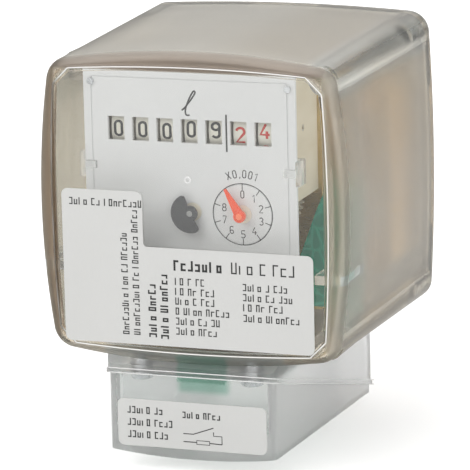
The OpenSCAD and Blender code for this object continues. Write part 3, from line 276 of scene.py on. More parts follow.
@dataclass(frozen=True)
class Edge(Finish):
    """Polished edge of clear plastic with painted light: its light tone is a painted highlight, and a painted shade
    darkens it along its left side.
    """

    # Where the painted shade lies: the x of the left side and how far it fades in, in millimetres.
    left: float
    reach: float = 1.25

    def shader(self, paint: Paint) -> Value:
        """The painted shade fades within a short way from the left side."""
        cloud = paint.noise(110, 3)
        painted_shade = 1 - paint.axis("X").step(self.left + self.reach, self.reach)
        return paint.surface(
            Base_Color=self.blend(paint, painted_shade * (cloud * 0.8 + 0.55)), Roughness=cloud * 0.1 + 0.12, Coat_Weight=0.6
        )


@dataclass(frozen=True)
class Sheet(Finish):
    """Printed plate or paper with fibres and a slight unevenness."""

    roughness: float
    fibre: float = 2600.0
    relief: float = 0.000008

    def shader(self, paint: Paint) -> Value:
        """Clouds and fibres in the colour, fibres in the relief."""
        cloud = paint.noise(45, 3)
        fibre = paint.noise(self.fibre, 3, (1, 1, 0.35))
        return paint.surface(
            Base_Color=self.blend(paint, cloud * 0.8 + fibre * 0.3 - 0.1),
            Roughness=fibre * 0.14 + (self.roughness - 0.07),
            Normal=paint.bump(fibre, 0.3, self.relief),
        )


@dataclass(frozen=True)
class Board(Finish):
    """Lacquered circuit board with copper tracks under the lacquer."""

    pitch: float = 260.0
    track: Pair = (0.03, 0.09)

    def shader(self, paint: Paint) -> Value:
        """Tracks along the borders of cells, over a cloudy ground."""
        cells = {"Vector": paint.place(), "Scale": self.pitch}
        copper = 1 - paint.node("ShaderNodeTexVoronoi", cells, feature="DISTANCE_TO_EDGE").ramp(*self.track)
        cloud = paint.noise(120, 3)
        return paint.surface(
            Base_Color=paint.mix(copper * 0.5 + cloud * 0.25, tone(self.dark), tone(self.light)),
            Roughness=cloud * 0.1 + 0.24,
            Normal=paint.bump(copper, 0.4, 0.00003),
            Coat_Weight=0.5,
            Coat_Roughness=0.1,
        )


@dataclass(frozen=True)
class Zone:
    """A region of a piece, in millimetres, where its colour turns towards another."""

    tint: str
    share: float
    limits: Mapping[str, Pair]
    soft: float = 0.4
    rough: float = 0.0

    def mask(self, paint: Paint) -> Value:
        """Where the region is: 1 inside the limits, 0 outside."""
        inside: Value | None = None
        for axis, (low, high) in self.limits.items():
            away = (paint.axis(axis) - (low + high) / 2 * MM).size()
            kept = 1 - away.step((high - low) / 2, self.soft)
            inside = kept if inside is None else inside * kept
        return inside


@dataclass(frozen=True)
class Clear(Finish):
    """Clear plastic, frosted where its mask says so; light passes it towards the pieces inside. Its zones paint light,
    shade and the colours seen through it onto the frosted plastic.
    """

    glass: str
    glass_roughness: float
    frost_roughness: float
    frost_transmission: float
    window: tuple[float, float, float, float] | None = None
    zones: tuple[Zone, ...] = ()
    passed: str = "fbfbfa"
    grain: float = 1500.0
    cut_corner: float = 3.4
    groove: float = 3.25

    def mask(self, paint: Paint) -> Value | float:
        """Where the plastic is frosted: 0 inside the window, 1 outside it, or 1 all over."""
        if self.window is None:
            return 1.0
        x, z, half, front = self.window
        aside = (paint.axis("X") - x * MM).size()
        above = (paint.axis("Z") - z * MM).size()
        rim = aside.larger(above).step(half, 0.15)
        corner = (aside + above).step(2 * half - self.cut_corner, 0.2)
        behind = paint.axis("Y").step(front + self.groove, 0.35)
        return rim.larger(corner).larger(behind)

    def shader(self, paint: Paint) -> Value:
        """Clear and frosted plastic side by side, both open to shadow and diffuse rays."""
        cloud = paint.noise(38, 3)
        skin = paint.noise(self.grain, 4)
        clear = paint.surface(
            Base_Color=tone(self.glass),
            Roughness=cloud * 0.02 + self.glass_roughness,
            Transmission_Weight=1.0,
            IOR=1.49,
        )
        colour = self.blend(paint, cloud * 1.5 - 0.25)
        roughness = skin * 0.04 + cloud * 0.1 + (self.frost_roughness - 0.07)
        # Each zone turns the frosted colour towards its tint and may change its roughness; on the hood and the case
        # most tints are painted light, painted shade and painted see-through colour.
        for zone in self.zones:
            inside = zone.mask(paint)
            colour = paint.mix(inside * zone.share, colour, tone(zone.tint))
            roughness = roughness + inside * zone.rough if zone.rough else roughness
        frosted = paint.surface(
            Base_Color=colour,
            Roughness=roughness,
            Transmission_Weight=self.frost_transmission,
            IOR=1.42,
            Normal=paint.bump(cloud, 0.3, 0.0002),
        )
        body = paint.node("ShaderNodeMixShader", {0: self.mask(paint), 1: clear, 2: frosted})
        through = paint.node("ShaderNodeBsdfTransparent", {"Color": tone(self.passed)})
        return paint.node("ShaderNodeMixShader", {0: paint.rays("Shadow", "Diffuse"), 1: body, 2: through})


class Figures:
    """Plain figures drawn as single strokes, one unit high and about half as wide."""

    @staticmethod
    def arc(x: float, z: float, radius: float, start: float, end: float) -> list[Pair]:
        """Points of a circular arc, its angles in degrees."""
        steps = max(4, round(abs(end - start) / 20))
        angles = (math.radians(start + (end - start) * k / steps) for k in range(steps + 1))
        return [(x + radius * math.cos(a), z + radius * math.sin(a)) for a in angles]

    @classmethod
    def routes(cls, mark: str) -> list[list[Pair]]:
        """The strokes of a figure.

        Args:
            mark: A digit, x for times, or a comma.

        Returns:
            One list of points for each stroke.
        """
        arc = cls.arc
        nine = [arc(0, 0.26, 0.24, 0, 360), [(0.24, 0.28), *arc(0, -0.26, 0.24, 0, -150)]]
        table = {
            "0": [[*arc(0, 0.28, 0.22, 0, 180), *arc(0, -0.28, 0.22, 180, 360), (0.22, 0.28)]],
            "1": [[(-0.16, 0.3), (0.06, 0.5), (0.06, -0.5)]],
            "2": [[*arc(0, 0.24, 0.26, 165, -30), (-0.26, -0.5), (0.28, -0.5)]],
            "3": [[*arc(0, 0.26, 0.24, 150, -90), *arc(0, -0.24, 0.26, 90, -150)]],
            "4": [[(0.04, 0.5), (-0.28, -0.22), (0.3, -0.22)], [(0.12, 0.02), (0.12, -0.5)]],
            "5": [[(0.24, 0.5), (-0.2, 0.5), (-0.23, 0.04), *arc(0, -0.22, 0.28, 125, -150)]],
            "6": [[(-x, -z) for x, z in route] for route in nine],
            "7": [[(-0.26, 0.5), (0.26, 0.5), (-0.08, -0.5)]],
            "8": [arc(0, 0.26, 0.24, 0, 360), arc(0, -0.24, 0.27, 0, 360)],
            "9": nine,
            "x": [[(-0.26, 0.5), (0.26, -0.5)], [(0.26, 0.5), (-0.26, -0.5)]],
            ",": [[(0.02, -0.4), (0.02, -0.5), (-0.05, -0.62)]],
        }
        return table[mark]


class Bench:
    """Modelling steps that the sub-assemblies share; sizes are in millimetres, angles in degrees."""

    FLAT = 0.8
    SHARP = 35.0
    SHADED = 40.0
    NEAR = 0.05
    ROUND_STEPS = 6

    @staticmethod
    def take(*pieces: Piece) -> None:
        """Selects these pieces alone and makes the first active."""
        bpy.ops.object.select_all(action="DESELECT")
        for piece in pieces:
            piece.select_set(True)
        bpy.context.view_layer.objects.active = pieces[0]

    @staticmethod
    def add(name: str, data: bpy.types.ID) -> Piece:
        """Links a new object to the scene."""
        made = bpy.data.objects.new(name, data)
        bpy.context.scene.collection.objects.link(made)
        return made

    @classmethod
    def start(cls, name: str, adder: Callable[..., object], **sizes: object) -> Piece:
        """Adds a named primitive by its operator, its place, turn and scale in its mesh."""
        adder(**sizes)
        made = bpy.context.object
        made.name = name
        cls.take(made)
        bpy.ops.object.transform_apply(location=True, rotation=True, scale=True)
        return made

    @staticmethod
    def place(piece: Piece, at: Point, turn: float = 0.0, axis: str = "Y") -> None:
        """Turns a mesh about an axis, then moves it."""
        piece.data.transform(Matrix.Rotation(math.radians(turn), 4, axis))
        piece.data.transform(Matrix.Translation([v * MM for v in at]))

    @classmethod
    @contextmanager
    def editing(cls, piece: Piece) -> Iterator[None]:
        """Holds one piece in edit mode, all of it selected at first."""
        cls.take(piece)
        bpy.ops.object.mode_set(mode="EDIT")
        bpy.ops.mesh.select_all(action="SELECT")
        yield
        bpy.ops.object.mode_set(mode="OBJECT")

    @staticmethod
    def pick(piece: Piece, test: Callable[[Vector], bool]) -> None:
        """Selects the edges whose ends are all at places that pass a test."""
        bpy.ops.mesh.select_all(action="DESELECT")
        for edge in bmesh.from_edit_mesh(piece.data).edges:
            edge.select = all(test(v.co) for v in edge.verts)
        bmesh.update_edit_mesh(piece.data)

    @classmethod
    def block(cls, low: Point, high: Point) -> Piece:
        """A box between two corners."""
        made = cls.start("block", bpy.ops.mesh.primitive_cube_add, size=MM)
        made.data.transform(Matrix.Diagonal([abs(b - a) for a, b in zip(low, high)] + [1]))
        cls.place(made, [(a + b) / 2 for a, b in zip(low, high)])
        return made

    @classmethod
    def rod(cls, name: str, middle: Point, radius: float, length: float, sides: int = 48) -> Piece:
        """A round bar from front to back about a middle point."""
        return cls.start(
            name,
            bpy.ops.mesh.primitive_cylinder_add,
            vertices=sides,
            radius=radius * MM,
            depth=length * MM,
            location=[v * MM for v in middle],
            rotation=FRONT_TO_BACK,
        )

    @classmethod
    def apply(cls, piece: Piece, kind: str, **settings: object) -> None:
        """Adds a modifier, sets it and applies it."""
        cls.take(piece)
        modifier = piece.modifiers.new(kind.title(), kind)
        for key, value in settings.items():
            setattr(modifier, key, value)
        bpy.ops.object.modifier_apply(modifier=modifier.name)

    @classmethod
    def finish_edges(cls, piece: Piece, width: float, segments: int = 2, angle: float = 30.0) -> None:
        """Rounds the edges of a piece that are sharper than an angle in degrees."""
        cls.apply(
            piece,
            "BEVEL",
            width=width * MM,
            segments=segments,
            limit_method="ANGLE",
            angle_limit=math.radians(angle),
            use_clamp_overlap=True,
        )

    @classmethod
    def cut(cls, piece: Piece, tool: Piece, way: str = "DIFFERENCE") -> None:
        """Joins a tool to a piece or cuts it out, and removes the tool."""
        cls.apply(piece, "BOOLEAN", object=tool, operation=way, solver="EXACT")
        bpy.data.objects.remove(tool)

    @classmethod
    def smooth(cls, piece: Piece, angle: float = 32.0) -> None:
        """Shades a piece smooth up to an angle in degrees."""
        cls.take(piece)
        bpy.ops.object.shade_smooth_by_angle(angle=math.radians(angle))

    @staticmethod
    def dress(piece: Piece, name: str) -> None:
        """Gives a piece one finish by its name."""
        piece.data.materials.clear()
        piece.data.materials.append(finish(name))

    @classmethod
    def join(cls, name: str, parts: Sequence[Piece]) -> Piece:
        """Makes one piece of several."""
        cls.take(*parts)
        bpy.ops.object.join()
        parts[0].name = name
        return parts[0]

    @classmethod
    def refined(cls, node: str, width: float, segments: int = 2) -> Piece:
        """A copy of a frame node with its edges rounded as the real piece's are.

        Args:
            node: The node to copy; the copy replaces it.
            width: Width of the rounding, or 0 for none.
            segments: Steps across the rounding.

        Returns:
            The copy.
        """
        made = cls.add(f"{node}_finished", frame["nodes"][node].data.copy())
        cls.take(made)
        bpy.ops.mesh.customdata_custom_splitnormals_clear()
        with cls.editing(made):
            bpy.ops.mesh.remove_doubles(threshold=MERGED)
            bpy.ops.mesh.dissolve_limited(angle_limit=math.radians(cls.FLAT))
        if width:
            cls.finish_edges(made, width, segments, cls.SHARP)
        cls.smooth(made, cls.SHADED)
        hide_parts(node)
        return made

    @classmethod
    def round_upright(cls, piece: Piece, at: Point, radius: float) -> None:
        """Rounds the edge that runs front to back at a place in x and z."""
        with cls.editing(piece):
            bpy.ops.mesh.select_mode(type="EDGE")
            cls.pick(piece, lambda co: math.hypot(co.x - at[0] * MM, co.z - at[1] * MM) < cls.NEAR * MM)
            bpy.ops.mesh.bevel(offset=radius * MM, segments=cls.ROUND_STEPS)

    @classmethod
    def figure(cls, mark: str, height: float, at: Point, turn: float = 0.0, weight: float = 0.13) -> Piece:
        """A printed figure facing the front.

        Args:
            mark: The figure.
            height: Its height.
            at: Its middle.
            turn: Turn in degrees, anticlockwise as seen from the front.
            weight: Stroke width as a share of the height.

        Returns:
            The figure as one mesh.
        """
        routes = [[(x * height, z * height) for x, z in route] for route in Figures.routes(mark)]
        made = cls.join("figure", [cls.stroke(route, 0.0, weight * height) for route in routes])
        cls.place(made, at, -turn)
        return made

    @classmethod
    def bar(cls, low: Point, high: Point, y: float) -> Piece:
        """A thin printed bar in x and z, its middle at a depth."""
        half = PRINT_T / 2
        return cls.block((low[0], y - half, low[1]), (high[0], y + half, high[1]))

    @classmethod
    def wire(cls, name: str, points: Iterable[Point], width: float, soft: bool = False) -> Piece:
        """A round line through points.

        Args:
            name: The line's name.
            points: Its points; a last point equal to the first closes it.
            width: Its thickness.
            soft: Whether it passes the points in a smooth curve.

        Returns:
            The line as a closed mesh.
        """
        curve = bpy.data.curves.new(name, "CURVE")
        curve.dimensions = "3D"
        curve.bevel_depth = width / 2 * MM
        curve.bevel_resolution = 2
        curve.use_fill_caps = True
        spline = curve.splines.new("NURBS" if soft else "POLY")
        route = list(points)
        if math.dist(route[0], route[-1]) < 1e-6:
            route.pop()
            spline.use_cyclic_u = True
        spline.points.add(len(route) - 1)
        for spot, at in zip(spline.points, route):
            spot.co = (*(v * MM for v in at), 1)
        if soft:
            spline.use_endpoint_u = not spline.use_cyclic_u
            spline.order_u = 3
            spline.resolution_u = 6
        cls.take(cls.add(name, curve))
        bpy.ops.object.convert(target="MESH")
        return bpy.context.object

    @classmethod
    def stroke(cls, points: Iterable[Point], y: float, width: float, soft: bool = False) -> Piece:
        """A thin printed line through points in x and z at a depth."""
        made = cls.wire("stroke", [(x, 0.0, z) for x, z in points], width, soft)
        made.data.transform(Matrix.Diagonal((1, STROKE_DEPTH, 1, 1)))
        cls.place(made, (0, y, 0))
        return made


HOOD_ZONES = (
    # Painted shade darkens the top of the hood, warmer towards its right half.
    Zone("a19d92", 0.9, {"Z": (29.4, 34.0), "Y": (-77.8, -17.0)}, 0.8, 0.16),
    Zone("968a74", 0.8, {"Z": (29.4, 34.0), "Y": (-77.8, -17.0), "X": (6.0, 44.0)}, 8.0),
    # Painted shade darkens the left wall.
    Zone("9a998c", 0.85, {"X": (-31.5, -28.0), "Y": (-77.5, -20.0), "Z": (-34.0, 30.0)}, 0.5),
    # Tan bands on the left, top and bottom of the rim: a painted refraction of the brass inside, darker on the left
    # and top as painted shade.
    Zone("a08d77", 1.0, {"X": (-34.0, -28.2), "Y": (-82.0, -78.2)}, 0.3, 0.3),
    Zone("a4968a", 1.0, {"Z": (28.4, 34.0), "Y": (-82.0, -78.3)}, 0.3, 0.3),
    Zone("cbc1b3", 0.8, {"Z": (-34.0, -29.0), "Y": (-82.0, -78.3)}, 0.3, 0.25),
    # Over the lower case the bottom of the rim is greyer, with the green of the terminal block behind it painted on: a
    # painted refraction.
    Zone("c6c8c4", 1.0, {"Z": (-34.0, -29.2), "Y": (-82.0, -77.0), "X": (-18.6, 20.0)}, 0.8),
    Zone("6fb8a5", 0.7, {"Z": (-34.0, -30.4), "Y": (-82.0, -77.0), "X": (-3.2, 7.6)}, 0.7),
    # The right band of the rim is paler: painted light.
    Zone("e2d9cc", 0.6, {"X": (29.2, 34.0), "Y": (-82.0, -78.0)}, 0.3, 0.25),
    # A dark line along the top of the rim's shoulder: painted shade.
    Zone("6f655b", 0.8, {"Y": (-78.45, -78.05), "Z": (20.0, 34.0)}, 0.15),
    Zone("f4f7f5", 1.0, {"Z": (-14.0, -12.0), "Y": (-80.6, -68.0)}, 0.25, -0.12),
    # The top right corner is lighter: painted light.
    Zone("d9dfdc", 0.7, {"X": (25.0, 34.0), "Z": (23.5, 30.5), "Y": (-77.5, -20.0)}, 1.2),
    # On the right wall, the teal of the board inside and the warm tone of the brass inside: a painted refraction.
    Zone("b3cbc2", 0.55, {"X": (29.0, 34.0), "Z": (-26.0, 4.0), "Y": (-78.0, -66.0)}, 4.0),
    Zone("f1dcae", 0.45, {"X": (29.0, 34.0), "Z": (6.0, 26.0), "Y": (-60.0, -30.0)}, 6.0),
    Zone("f2e6cd", 0.8, {"Y": (-20.0, -18.2)}, 0.3),
    Zone("a8a79a", 0.6, {"Y": (-18.2, -16.5)}, 0.2),
)
CASE_ZONES = (
    Zone("e9eceb", 0.7, {"Y": (-82.0, -77.0), "Z": (-46.0, -30.0), "X": (-16.5, 16.0)}, 0.6, -0.2),
    # Round the neck the plastic is whitened and made hazier: the white is painted light against the shade under the
    # hood, the haze a rougher surface.
    Zone("ffffff", 0.8, {"Z": (-34.6, -28.0)}, 0.4, 0.35),
    # The green of the terminal block behind the neck and below the rib, painted on the front wall: a painted
    # refraction.
    Zone("62bfa6", 0.6, {"Y": (-82.0, -77.0), "Z": (-34.6, -30.0), "X": (-3.2, 7.6)}, 0.6),
    Zone("4fb497", 0.55, {"Y": (-82.0, -77.0), "Z": (-38.3, -35.4), "X": (-3.2, 7.6)}, 0.9),
)
KINDS = (
    Metal("brass_turned", "d2b276", "b8965a", 0.34, 700, (1, 1, 6)),
    Metal("brass_sheet", "d6c08a", "b39a62", 0.3, 900, (1, 1, 8)),
    Metal("bush_plated", "f0ece0", "ddd6c4", 0.5, 900, (1, 1, 6), 0.00002, 0.25),
    Metal("steel_bright", "d8dadb", "9a9ea1", 0.26, 1300),
    Metal("magnet_grey", "7c8083", "55595c", 0.42, 1600),
    Metal("cast_plate", "a5a8aa", "7d8183", 0.46, 1900, (1, 1, 1), 0.00005),
    Moulded("gear_black", "3a3d40", "24272a", 0.4),
    Moulded("rubber_black", "2a2b2c", "181919", 0.62, 2400),
    Moulded("white_plastic", "ddd5c0", "c8bea4", 0.44),
    Moulded("roller_cream", "efece2", "dedbce", 0.5),
    Moulded("indicator_grey", "4c4d4e", "3e3f40", 0.45),
    Moulded("pointer_red", "f45b2b", "e8491f", 0.3, 1400, 0.00001, 0.3),
    Moulded("painted_highlight_orange", "ff9068", "f77d55", 0.3),
    Moulded("pin_grey", "a6a7a5", "929391", 0.4),
    Moulded("terminal_green", "74cbb1", "56b398", 0.4),
    Moulded("gland_grey", "a2a5a8", "86898c", 0.4),
    Moulded("ink_dark", "2b2c2b", "232423", 0.5),
    Moulded("ink_red", "cf3b2e", "bd3226", 0.5),
    Sheet("dial_paint", "e3e4e4", "d6d7d8", 0.42),
    Sheet("label_paper", "dededc", "d4d4d1", 0.5),
    Board("board_green", "38aa8b", "127a62"),
    Edge("window_edge_painted_highlight", "fbfaf7", "6f675d", -28.6),
    Edge("rib_edge_painted_highlight", "ececeb", "d2d3d2", -30.0),
    Clear("hood_plastic", "efe7d6", "e0d4bd", "fdfdfc", 0.0, 0.2, 0.93, (0.45, -0.2, 28.75, -81.6), HOOD_ZONES),
    Clear("case_plastic", "fcfcfc", "f2f3f3", "f4f5f5", 0.1, 0.3, 0.86, None, CASE_ZONES),
    Clear("clip_plastic", "ffffff", "f6f8f8", "fdfefe", 0.02, 0.1, 0.8),
)
FINISH_OF_SLOT = {
    "brass": "brass_turned",
    "plate": "brass_sheet",
    "steel": "steel_bright",
    "magnet": "magnet_grey",
    "base": "cast_plate",
    "rubber": "rubber_black",
    "roller": "roller_cream",
    "hood_clear": "hood_plastic",
    "case_clear": "case_plastic",
    "clip_clear": "clip_plastic",
    "dial": "dial_paint",
    "indicator": "indicator_grey",
    "label": "label_paper",
    "board": "board_green",
    "terminal": "terminal_green",
    "reed_glass": "clip_plastic",
    "gland": "gland_grey",
}


@cache
def finish(name: str) -> bpy.types.Material:
    """A finish by its name, made on first use."""
    return next(kind for kind in KINDS if kind.name == name).make()


def dress_nodes() -> None:
    """Gives every frame node the finish of its slot; the plated bushes are paler than their slot."""
    for entry in frame["record"]["subparts"]:
        node, slot = entry["node"], entry["material_slot"]
        name = "bush_plated" if node == "arbor_bushes" else FINISH_OF_SLOT.get(slot, slot)
        Bench.dress(frame["nodes"][node], name)


@dataclass
class Hood:
    """Clear hood with a flat window, a groove round it, a rounded rim, screw columns and two inner ribs."""

    centre: Pair = (0.45, -0.2)
    at_window: Point = (58.0, 58.0, 3.4, 0.9, 0.2)
    at_front: Point = (62.1, 60.8, 4.6, 2.1, 1.0)
    at_back: Point = (63.8, 63.2, 4.6, 0.8, 1.0)
    front_y: float = -81.6
    back_y: float = -17.0
    rim: float = 3.4
    wall: float = 2.5
    steps: int = 16
    corner_steps: int = 8
    grooves: tuple[Pair, ...] = ((0.25, 0.0), (0.3, 0.25), (0.3, -0.25))
    column_at: Pair = (27.6, 27.2)
    column_r: float = 3.12
    column_fronts: Pair = (-70.7, -76.5)
    column_back: float = -17.1
    bore_y: float = -21.0
    bore_r: float = 1.25
    bore_l: float = 9.0
    ledge_x: Pair = (26.2, 31.0)
    ledge_y: Pair = (-80.2, -68.2)
    ledge_z: Pair = (-13.95, -12.05)
    gate_at: Triple = (0.45, -81.58, 6.5)
    gate_r: Pair = (0.6, 0.2)
    edge_y: float = -81.54
    edge_in: float = 0.5
    edge_t: float = 0.28

    def outline(self, width: float, height: float, radius: float, swell: float, roundness: float) -> list[Vector]:
        """Points of a rectangle with swelling sides and corners between straight and round."""
        points: list[Vector] = []
        for quarter in range(4):
            w, h = (width, height) if quarter % 2 == 0 else (height, width)
            row = [
                Vector((w / 2 + swell * (1 - t * t), t * (h / 2 - radius)))
                for t in (2 * i / self.steps - 1 for i in range(self.steps + 1))
            ]
            for i in range(1, self.corner_steps):
                t = i / self.corner_steps
                straight = Vector((w / 2 - radius * t, h / 2 - radius * (1 - t)))
                a = math.pi / 2 * t
                curved = Vector((w / 2 - radius + radius * math.cos(a), h / 2 - radius + radius * math.sin(a)))
                row.append(straight.lerp(curved, roundness))
            turn = Matrix.Rotation(quarter * math.pi / 2, 2)
            points += [turn @ p for p in row]
        return points

    def ring(self, y: float, first: Point, second: Point, share: float) -> list[Vector]:
        """One ring at a depth, its outline between two others, in metres."""
        outline = self.outline(*(a + (b - a) * share for a, b in zip(first, second)))
        x, z = self.centre
        return [Vector(((p.x + x) * MM, y * MM, (p.y + z) * MM)) for p in outline]

    def rings(self) -> list[list[Vector]]:
        """The rings from the window to the rear rim."""
        made = []
        for t in (0.0, 0.05, 0.15, 0.3, 0.5, 0.75, 1.0):
            bulge = math.sqrt(1 - (1 - t) ** 2)
            made.append(self.ring(self.front_y + self.rim * t, self.at_window, self.at_front, bulge))
        shoulder = self.front_y + self.rim
        for t in (i / 6 for i in range(1, 7)):
            made.append(self.ring(shoulder + (self.back_y - shoulder) * t, self.at_front, self.at_back, t))
        return made

    def skin(self) -> Piece:
        """Draws the rings one after another, each extruded from the one before."""
        rings = self.rings()
        adder = bpy.ops.mesh.primitive_circle_add
        made = Bench.start("hood_shell", adder, vertices=len(rings[0]), radius=0.03, fill_type="NOTHING")
        for vertex, spot in zip(made.data.vertices, rings[0]):
            vertex.co = spot
        with Bench.editing(made):
            bpy.ops.mesh.select_mode(type="EDGE")
            bpy.ops.mesh.select_all(action="SELECT")
            for before, after in zip(rings, rings[1:]):
                bpy.ops.mesh.extrude_edges_move()
                mesh = bmesh.from_edit_mesh(made.data)
                for vertex in (v for v in mesh.verts if v.select):
                    k = min(range(len(before)), key=lambda j: (before[j] - vertex.co).length_squared)
                    vertex.co = after[k]
                bmesh.update_edit_mesh(made.data)
            Bench.pick(made, lambda co: abs(co.y - self.front_y * MM) < 1e-7)
            bpy.ops.mesh.edge_face_add()
            for inset, push in self.grooves:
                bpy.ops.mesh.inset(thickness=inset * MM)
                bpy.ops.transform.translate(value=(0, push * MM, 0))
            bpy.ops.mesh.select_all(action="SELECT")
            bpy.ops.mesh.normals_make_consistent(inside=False)
        if max(made.data.polygons, key=lambda f: f.area).normal.y > 0:
            made.data.flip_normals()
        return made

    def build(self) -> list[Piece]:
        """Models the hood and what is moulded on it, with a painted highlight on its gate mark and round its window.
        """
        shell = self.skin()
        sheet = {"offset": -1, "use_even_offset": True, "use_rim": True, "thickness_clamp": 0.6}
        Bench.apply(shell, "SOLIDIFY", thickness=self.wall * MM, **sheet)
        for side in (-1, 1):
            for up in (-1, 1):
                x, z = self.centre[0] + side * self.column_at[0], self.centre[1] + up * self.column_at[1]
                front = self.column_fronts[side > 0]
                length = self.column_back - front
                Bench.cut(shell, Bench.rod("column", (x, front + length / 2, z), self.column_r, length), "UNION")
                Bench.cut(shell, Bench.rod("bore", (x, self.bore_y, z), self.bore_r, self.bore_l, 32))
            corners = [(self.centre[0] + side * self.ledge_x[k], self.ledge_y[k], self.ledge_z[k]) for k in (0, 1)]
            Bench.cut(shell, Bench.block(*corners), "UNION")
        with Bench.editing(shell):
            bpy.ops.mesh.remove_doubles(threshold=MERGED)
            bpy.ops.mesh.normals_make_consistent(inside=False)
        Bench.smooth(shell, 30)
        Bench.dress(shell, "hood_plastic")
        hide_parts("hood")
        # The gate mark is a small white ring: a painted highlight on the moulding's dimple.
        gate = Bench.start(
            "gate_mark",
            bpy.ops.mesh.primitive_torus_add,
            location=[v * MM for v in self.gate_at],
            rotation=FRONT_TO_BACK,
            major_radius=self.gate_r[0] * MM,
            minor_radius=self.gate_r[1] * MM,
            major_segments=32,
            minor_segments=10,
        )
        Bench.dress(gate, "rib_edge_painted_highlight")
        Bench.smooth(gate, 60)
        # A thin bright bead round the window: a painted highlight along the window's edge, with painted shade on its
        # left side.
        side, _, corner, swell, _ = self.at_window
        ring = self.outline(side - self.edge_in, side - self.edge_in, corner, swell, 0.0)
        points = [(p.x + self.centre[0], self.edge_y, p.y + self.centre[1]) for p in [*ring, ring[0]]]
        edge = Bench.wire("window_edge_painted_highlight", points, self.edge_t)
        Bench.dress(edge, "window_edge_painted_highlight")
        return [shell, gate, edge]


@dataclass
class DialFace:
    """Print on the dial: scale ring, ticks, figures, factor, decimal bar and litre sign."""

    face_y: float = -74.0
    centre: Pair = (9.5, -1.7)
    ring_r: float = 6.4
    ring_steps: int = 96
    pen: float = 0.16
    tick: float = 1.35
    figure_r: float = 4.15
    figure_h: float = 1.5
    figure_pen: float = 0.125
    factor_r: float = 8.4
    factor_h: float = 1.55
    factor: tuple[tuple[str, float], ...] = (
        ("x", -20.5), ("0", -11.0), (",", -3.5), ("0", 3.5), ("0", 12.5), ("1", 21.0),
    )  # fmt: skip
    decimal_bar: tuple[Pair, Pair] = ((6.2, 11.1), (6.55, 18.8))
    sign_at: Pair = (-1.85, 20.86)
    sign_pen: float = 0.34
    sign: tuple[Pair, ...] = (
        (-1.3, -1.55), (-0.75, -1.15), (-0.1, -0.35), (0.6, 0.5), (1.35, 1.55), (1.75, 2.3), (1.45, 2.62),
        (1.0, 2.1), (0.4, 1.0), (-0.2, -0.4), (-0.55, -1.5), (-0.5, -2.3), (-0.1, -2.62), (0.4, -2.45),
    )  # fmt: skip

    def polar(self, radius: float, angle: float) -> Pair:
        """A place about the scale's centre; the angle in degrees is anticlockwise from the right."""
        a = math.radians(angle)
        return (self.centre[0] + radius * math.cos(a), self.centre[1] + radius * math.sin(a))

    def build(self) -> list[Piece]:
        """Models the print as thin solids just proud of the dial."""
        y = self.face_y - PRINT_UP
        circle = [self.polar(self.ring_r, 360 / self.ring_steps * k) for k in range(self.ring_steps + 1)]
        parts = [Bench.stroke(circle, y, self.pen)]
        for k in range(10):
            x, z = self.polar(self.ring_r - self.tick / 2, 90 - 36 * k)
            tick = Bench.bar((-self.pen / 2, -self.tick / 2), (self.pen / 2, self.tick / 2), 0)
            Bench.place(tick, (x, y, z), 36 * k)
            parts.append(tick)
            if k < 9:
                x, z = self.polar(self.figure_r, 90 - 36 * k)
                parts.append(Bench.figure(str(k), self.figure_h, (x, y, z), 0, self.figure_pen))
        for mark, angle in self.factor:
            x, z = self.polar(self.factor_r, 90 - angle)
            parts.append(Bench.figure(mark, self.factor_h, (x, y, z), -angle))
        bar = Bench.bar(*self.decimal_bar, y)
        route = [(self.sign_at[0] + x, self.sign_at[1] + z) for x, z in self.sign]
        litre = Bench.stroke(route, y, self.sign_pen, True)
        made = [Bench.join("dial_print", parts), Bench.join("dial_marks", [litre, bar])]
        for piece in made:
            Bench.dress(piece, "ink_dark")
        return made


@dataclass
class Counter:
    """Figures printed round the numeral rollers."""

    axis: Pair = (-65.2, 15.0)
    radius: float = 7.5
    first_x: float = -17.55
    pitch: float = 5.29
    height: float = 3.6
    weight: float = 0.62
    wide: float = 1.12
    facet: float = 0.5
    facets: int = 3
    shown: tuple[int, ...] = (0, 0, 0, 0, 9, 2, 4)
    lift: tuple[float, ...] = (-0.3, -0.33, -0.48, 0.15, 0.2, -0.58, 0.42)
    red_from: int = 5

    def figure(self, digit: int) -> Piece:
        """One figure wrapped on the roller, at its place in the ring."""
        made = Bench.figure(str(digit), self.height - self.weight, (0, 0, 0), 0, self.weight / self.height)
        made.data.transform(Matrix.Diagonal((self.wide, 1, 1, 1)))
        with Bench.editing(made):
            for k in range(-self.facets, self.facets + 1):
                bpy.ops.mesh.select_all(action="SELECT")
                bpy.ops.mesh.bisect(plane_co=(0, 0, k * self.facet * MM), plane_no=(0, 0, 1))
        for vertex in made.data.vertices:
            a = vertex.co.z / (self.radius * MM)
            reach = self.radius * MM - vertex.co.y
            vertex.co = Vector((vertex.co.x, -reach * math.cos(a), reach * math.sin(a)))
        Bench.place(made, (0, 0, 0), -36 * digit, "X")
        return made

    def build(self) -> list[Piece]:
        """Makes the ring of ten figures once and copies it to each roller."""
        ring = Bench.join("figures", [self.figure(d) for d in range(10)])
        pieces = []
        for k, digit in enumerate(self.shown):
            made = Bench.add(f"figures_{k + 1}", ring.data.copy())
            turn = 36 * digit - math.degrees(self.lift[k] / self.radius)
            Bench.place(made, (self.first_x + k * self.pitch, *self.axis), turn, "X")
            Bench.dress(made, "ink_red" if k >= self.red_from else "ink_dark")
            pieces.append(made)
        bpy.data.objects.remove(ring)
        return pieces


@dataclass(frozen=True)
class Line:
    """One printed line of stand-in marks: where it starts, how long its words are and how high it is."""

    at: Pair
    words: tuple[int, ...]
    height: float = 1.5
    pen: float = 0.22
    tilt: Tilt = Tilt.LEVEL


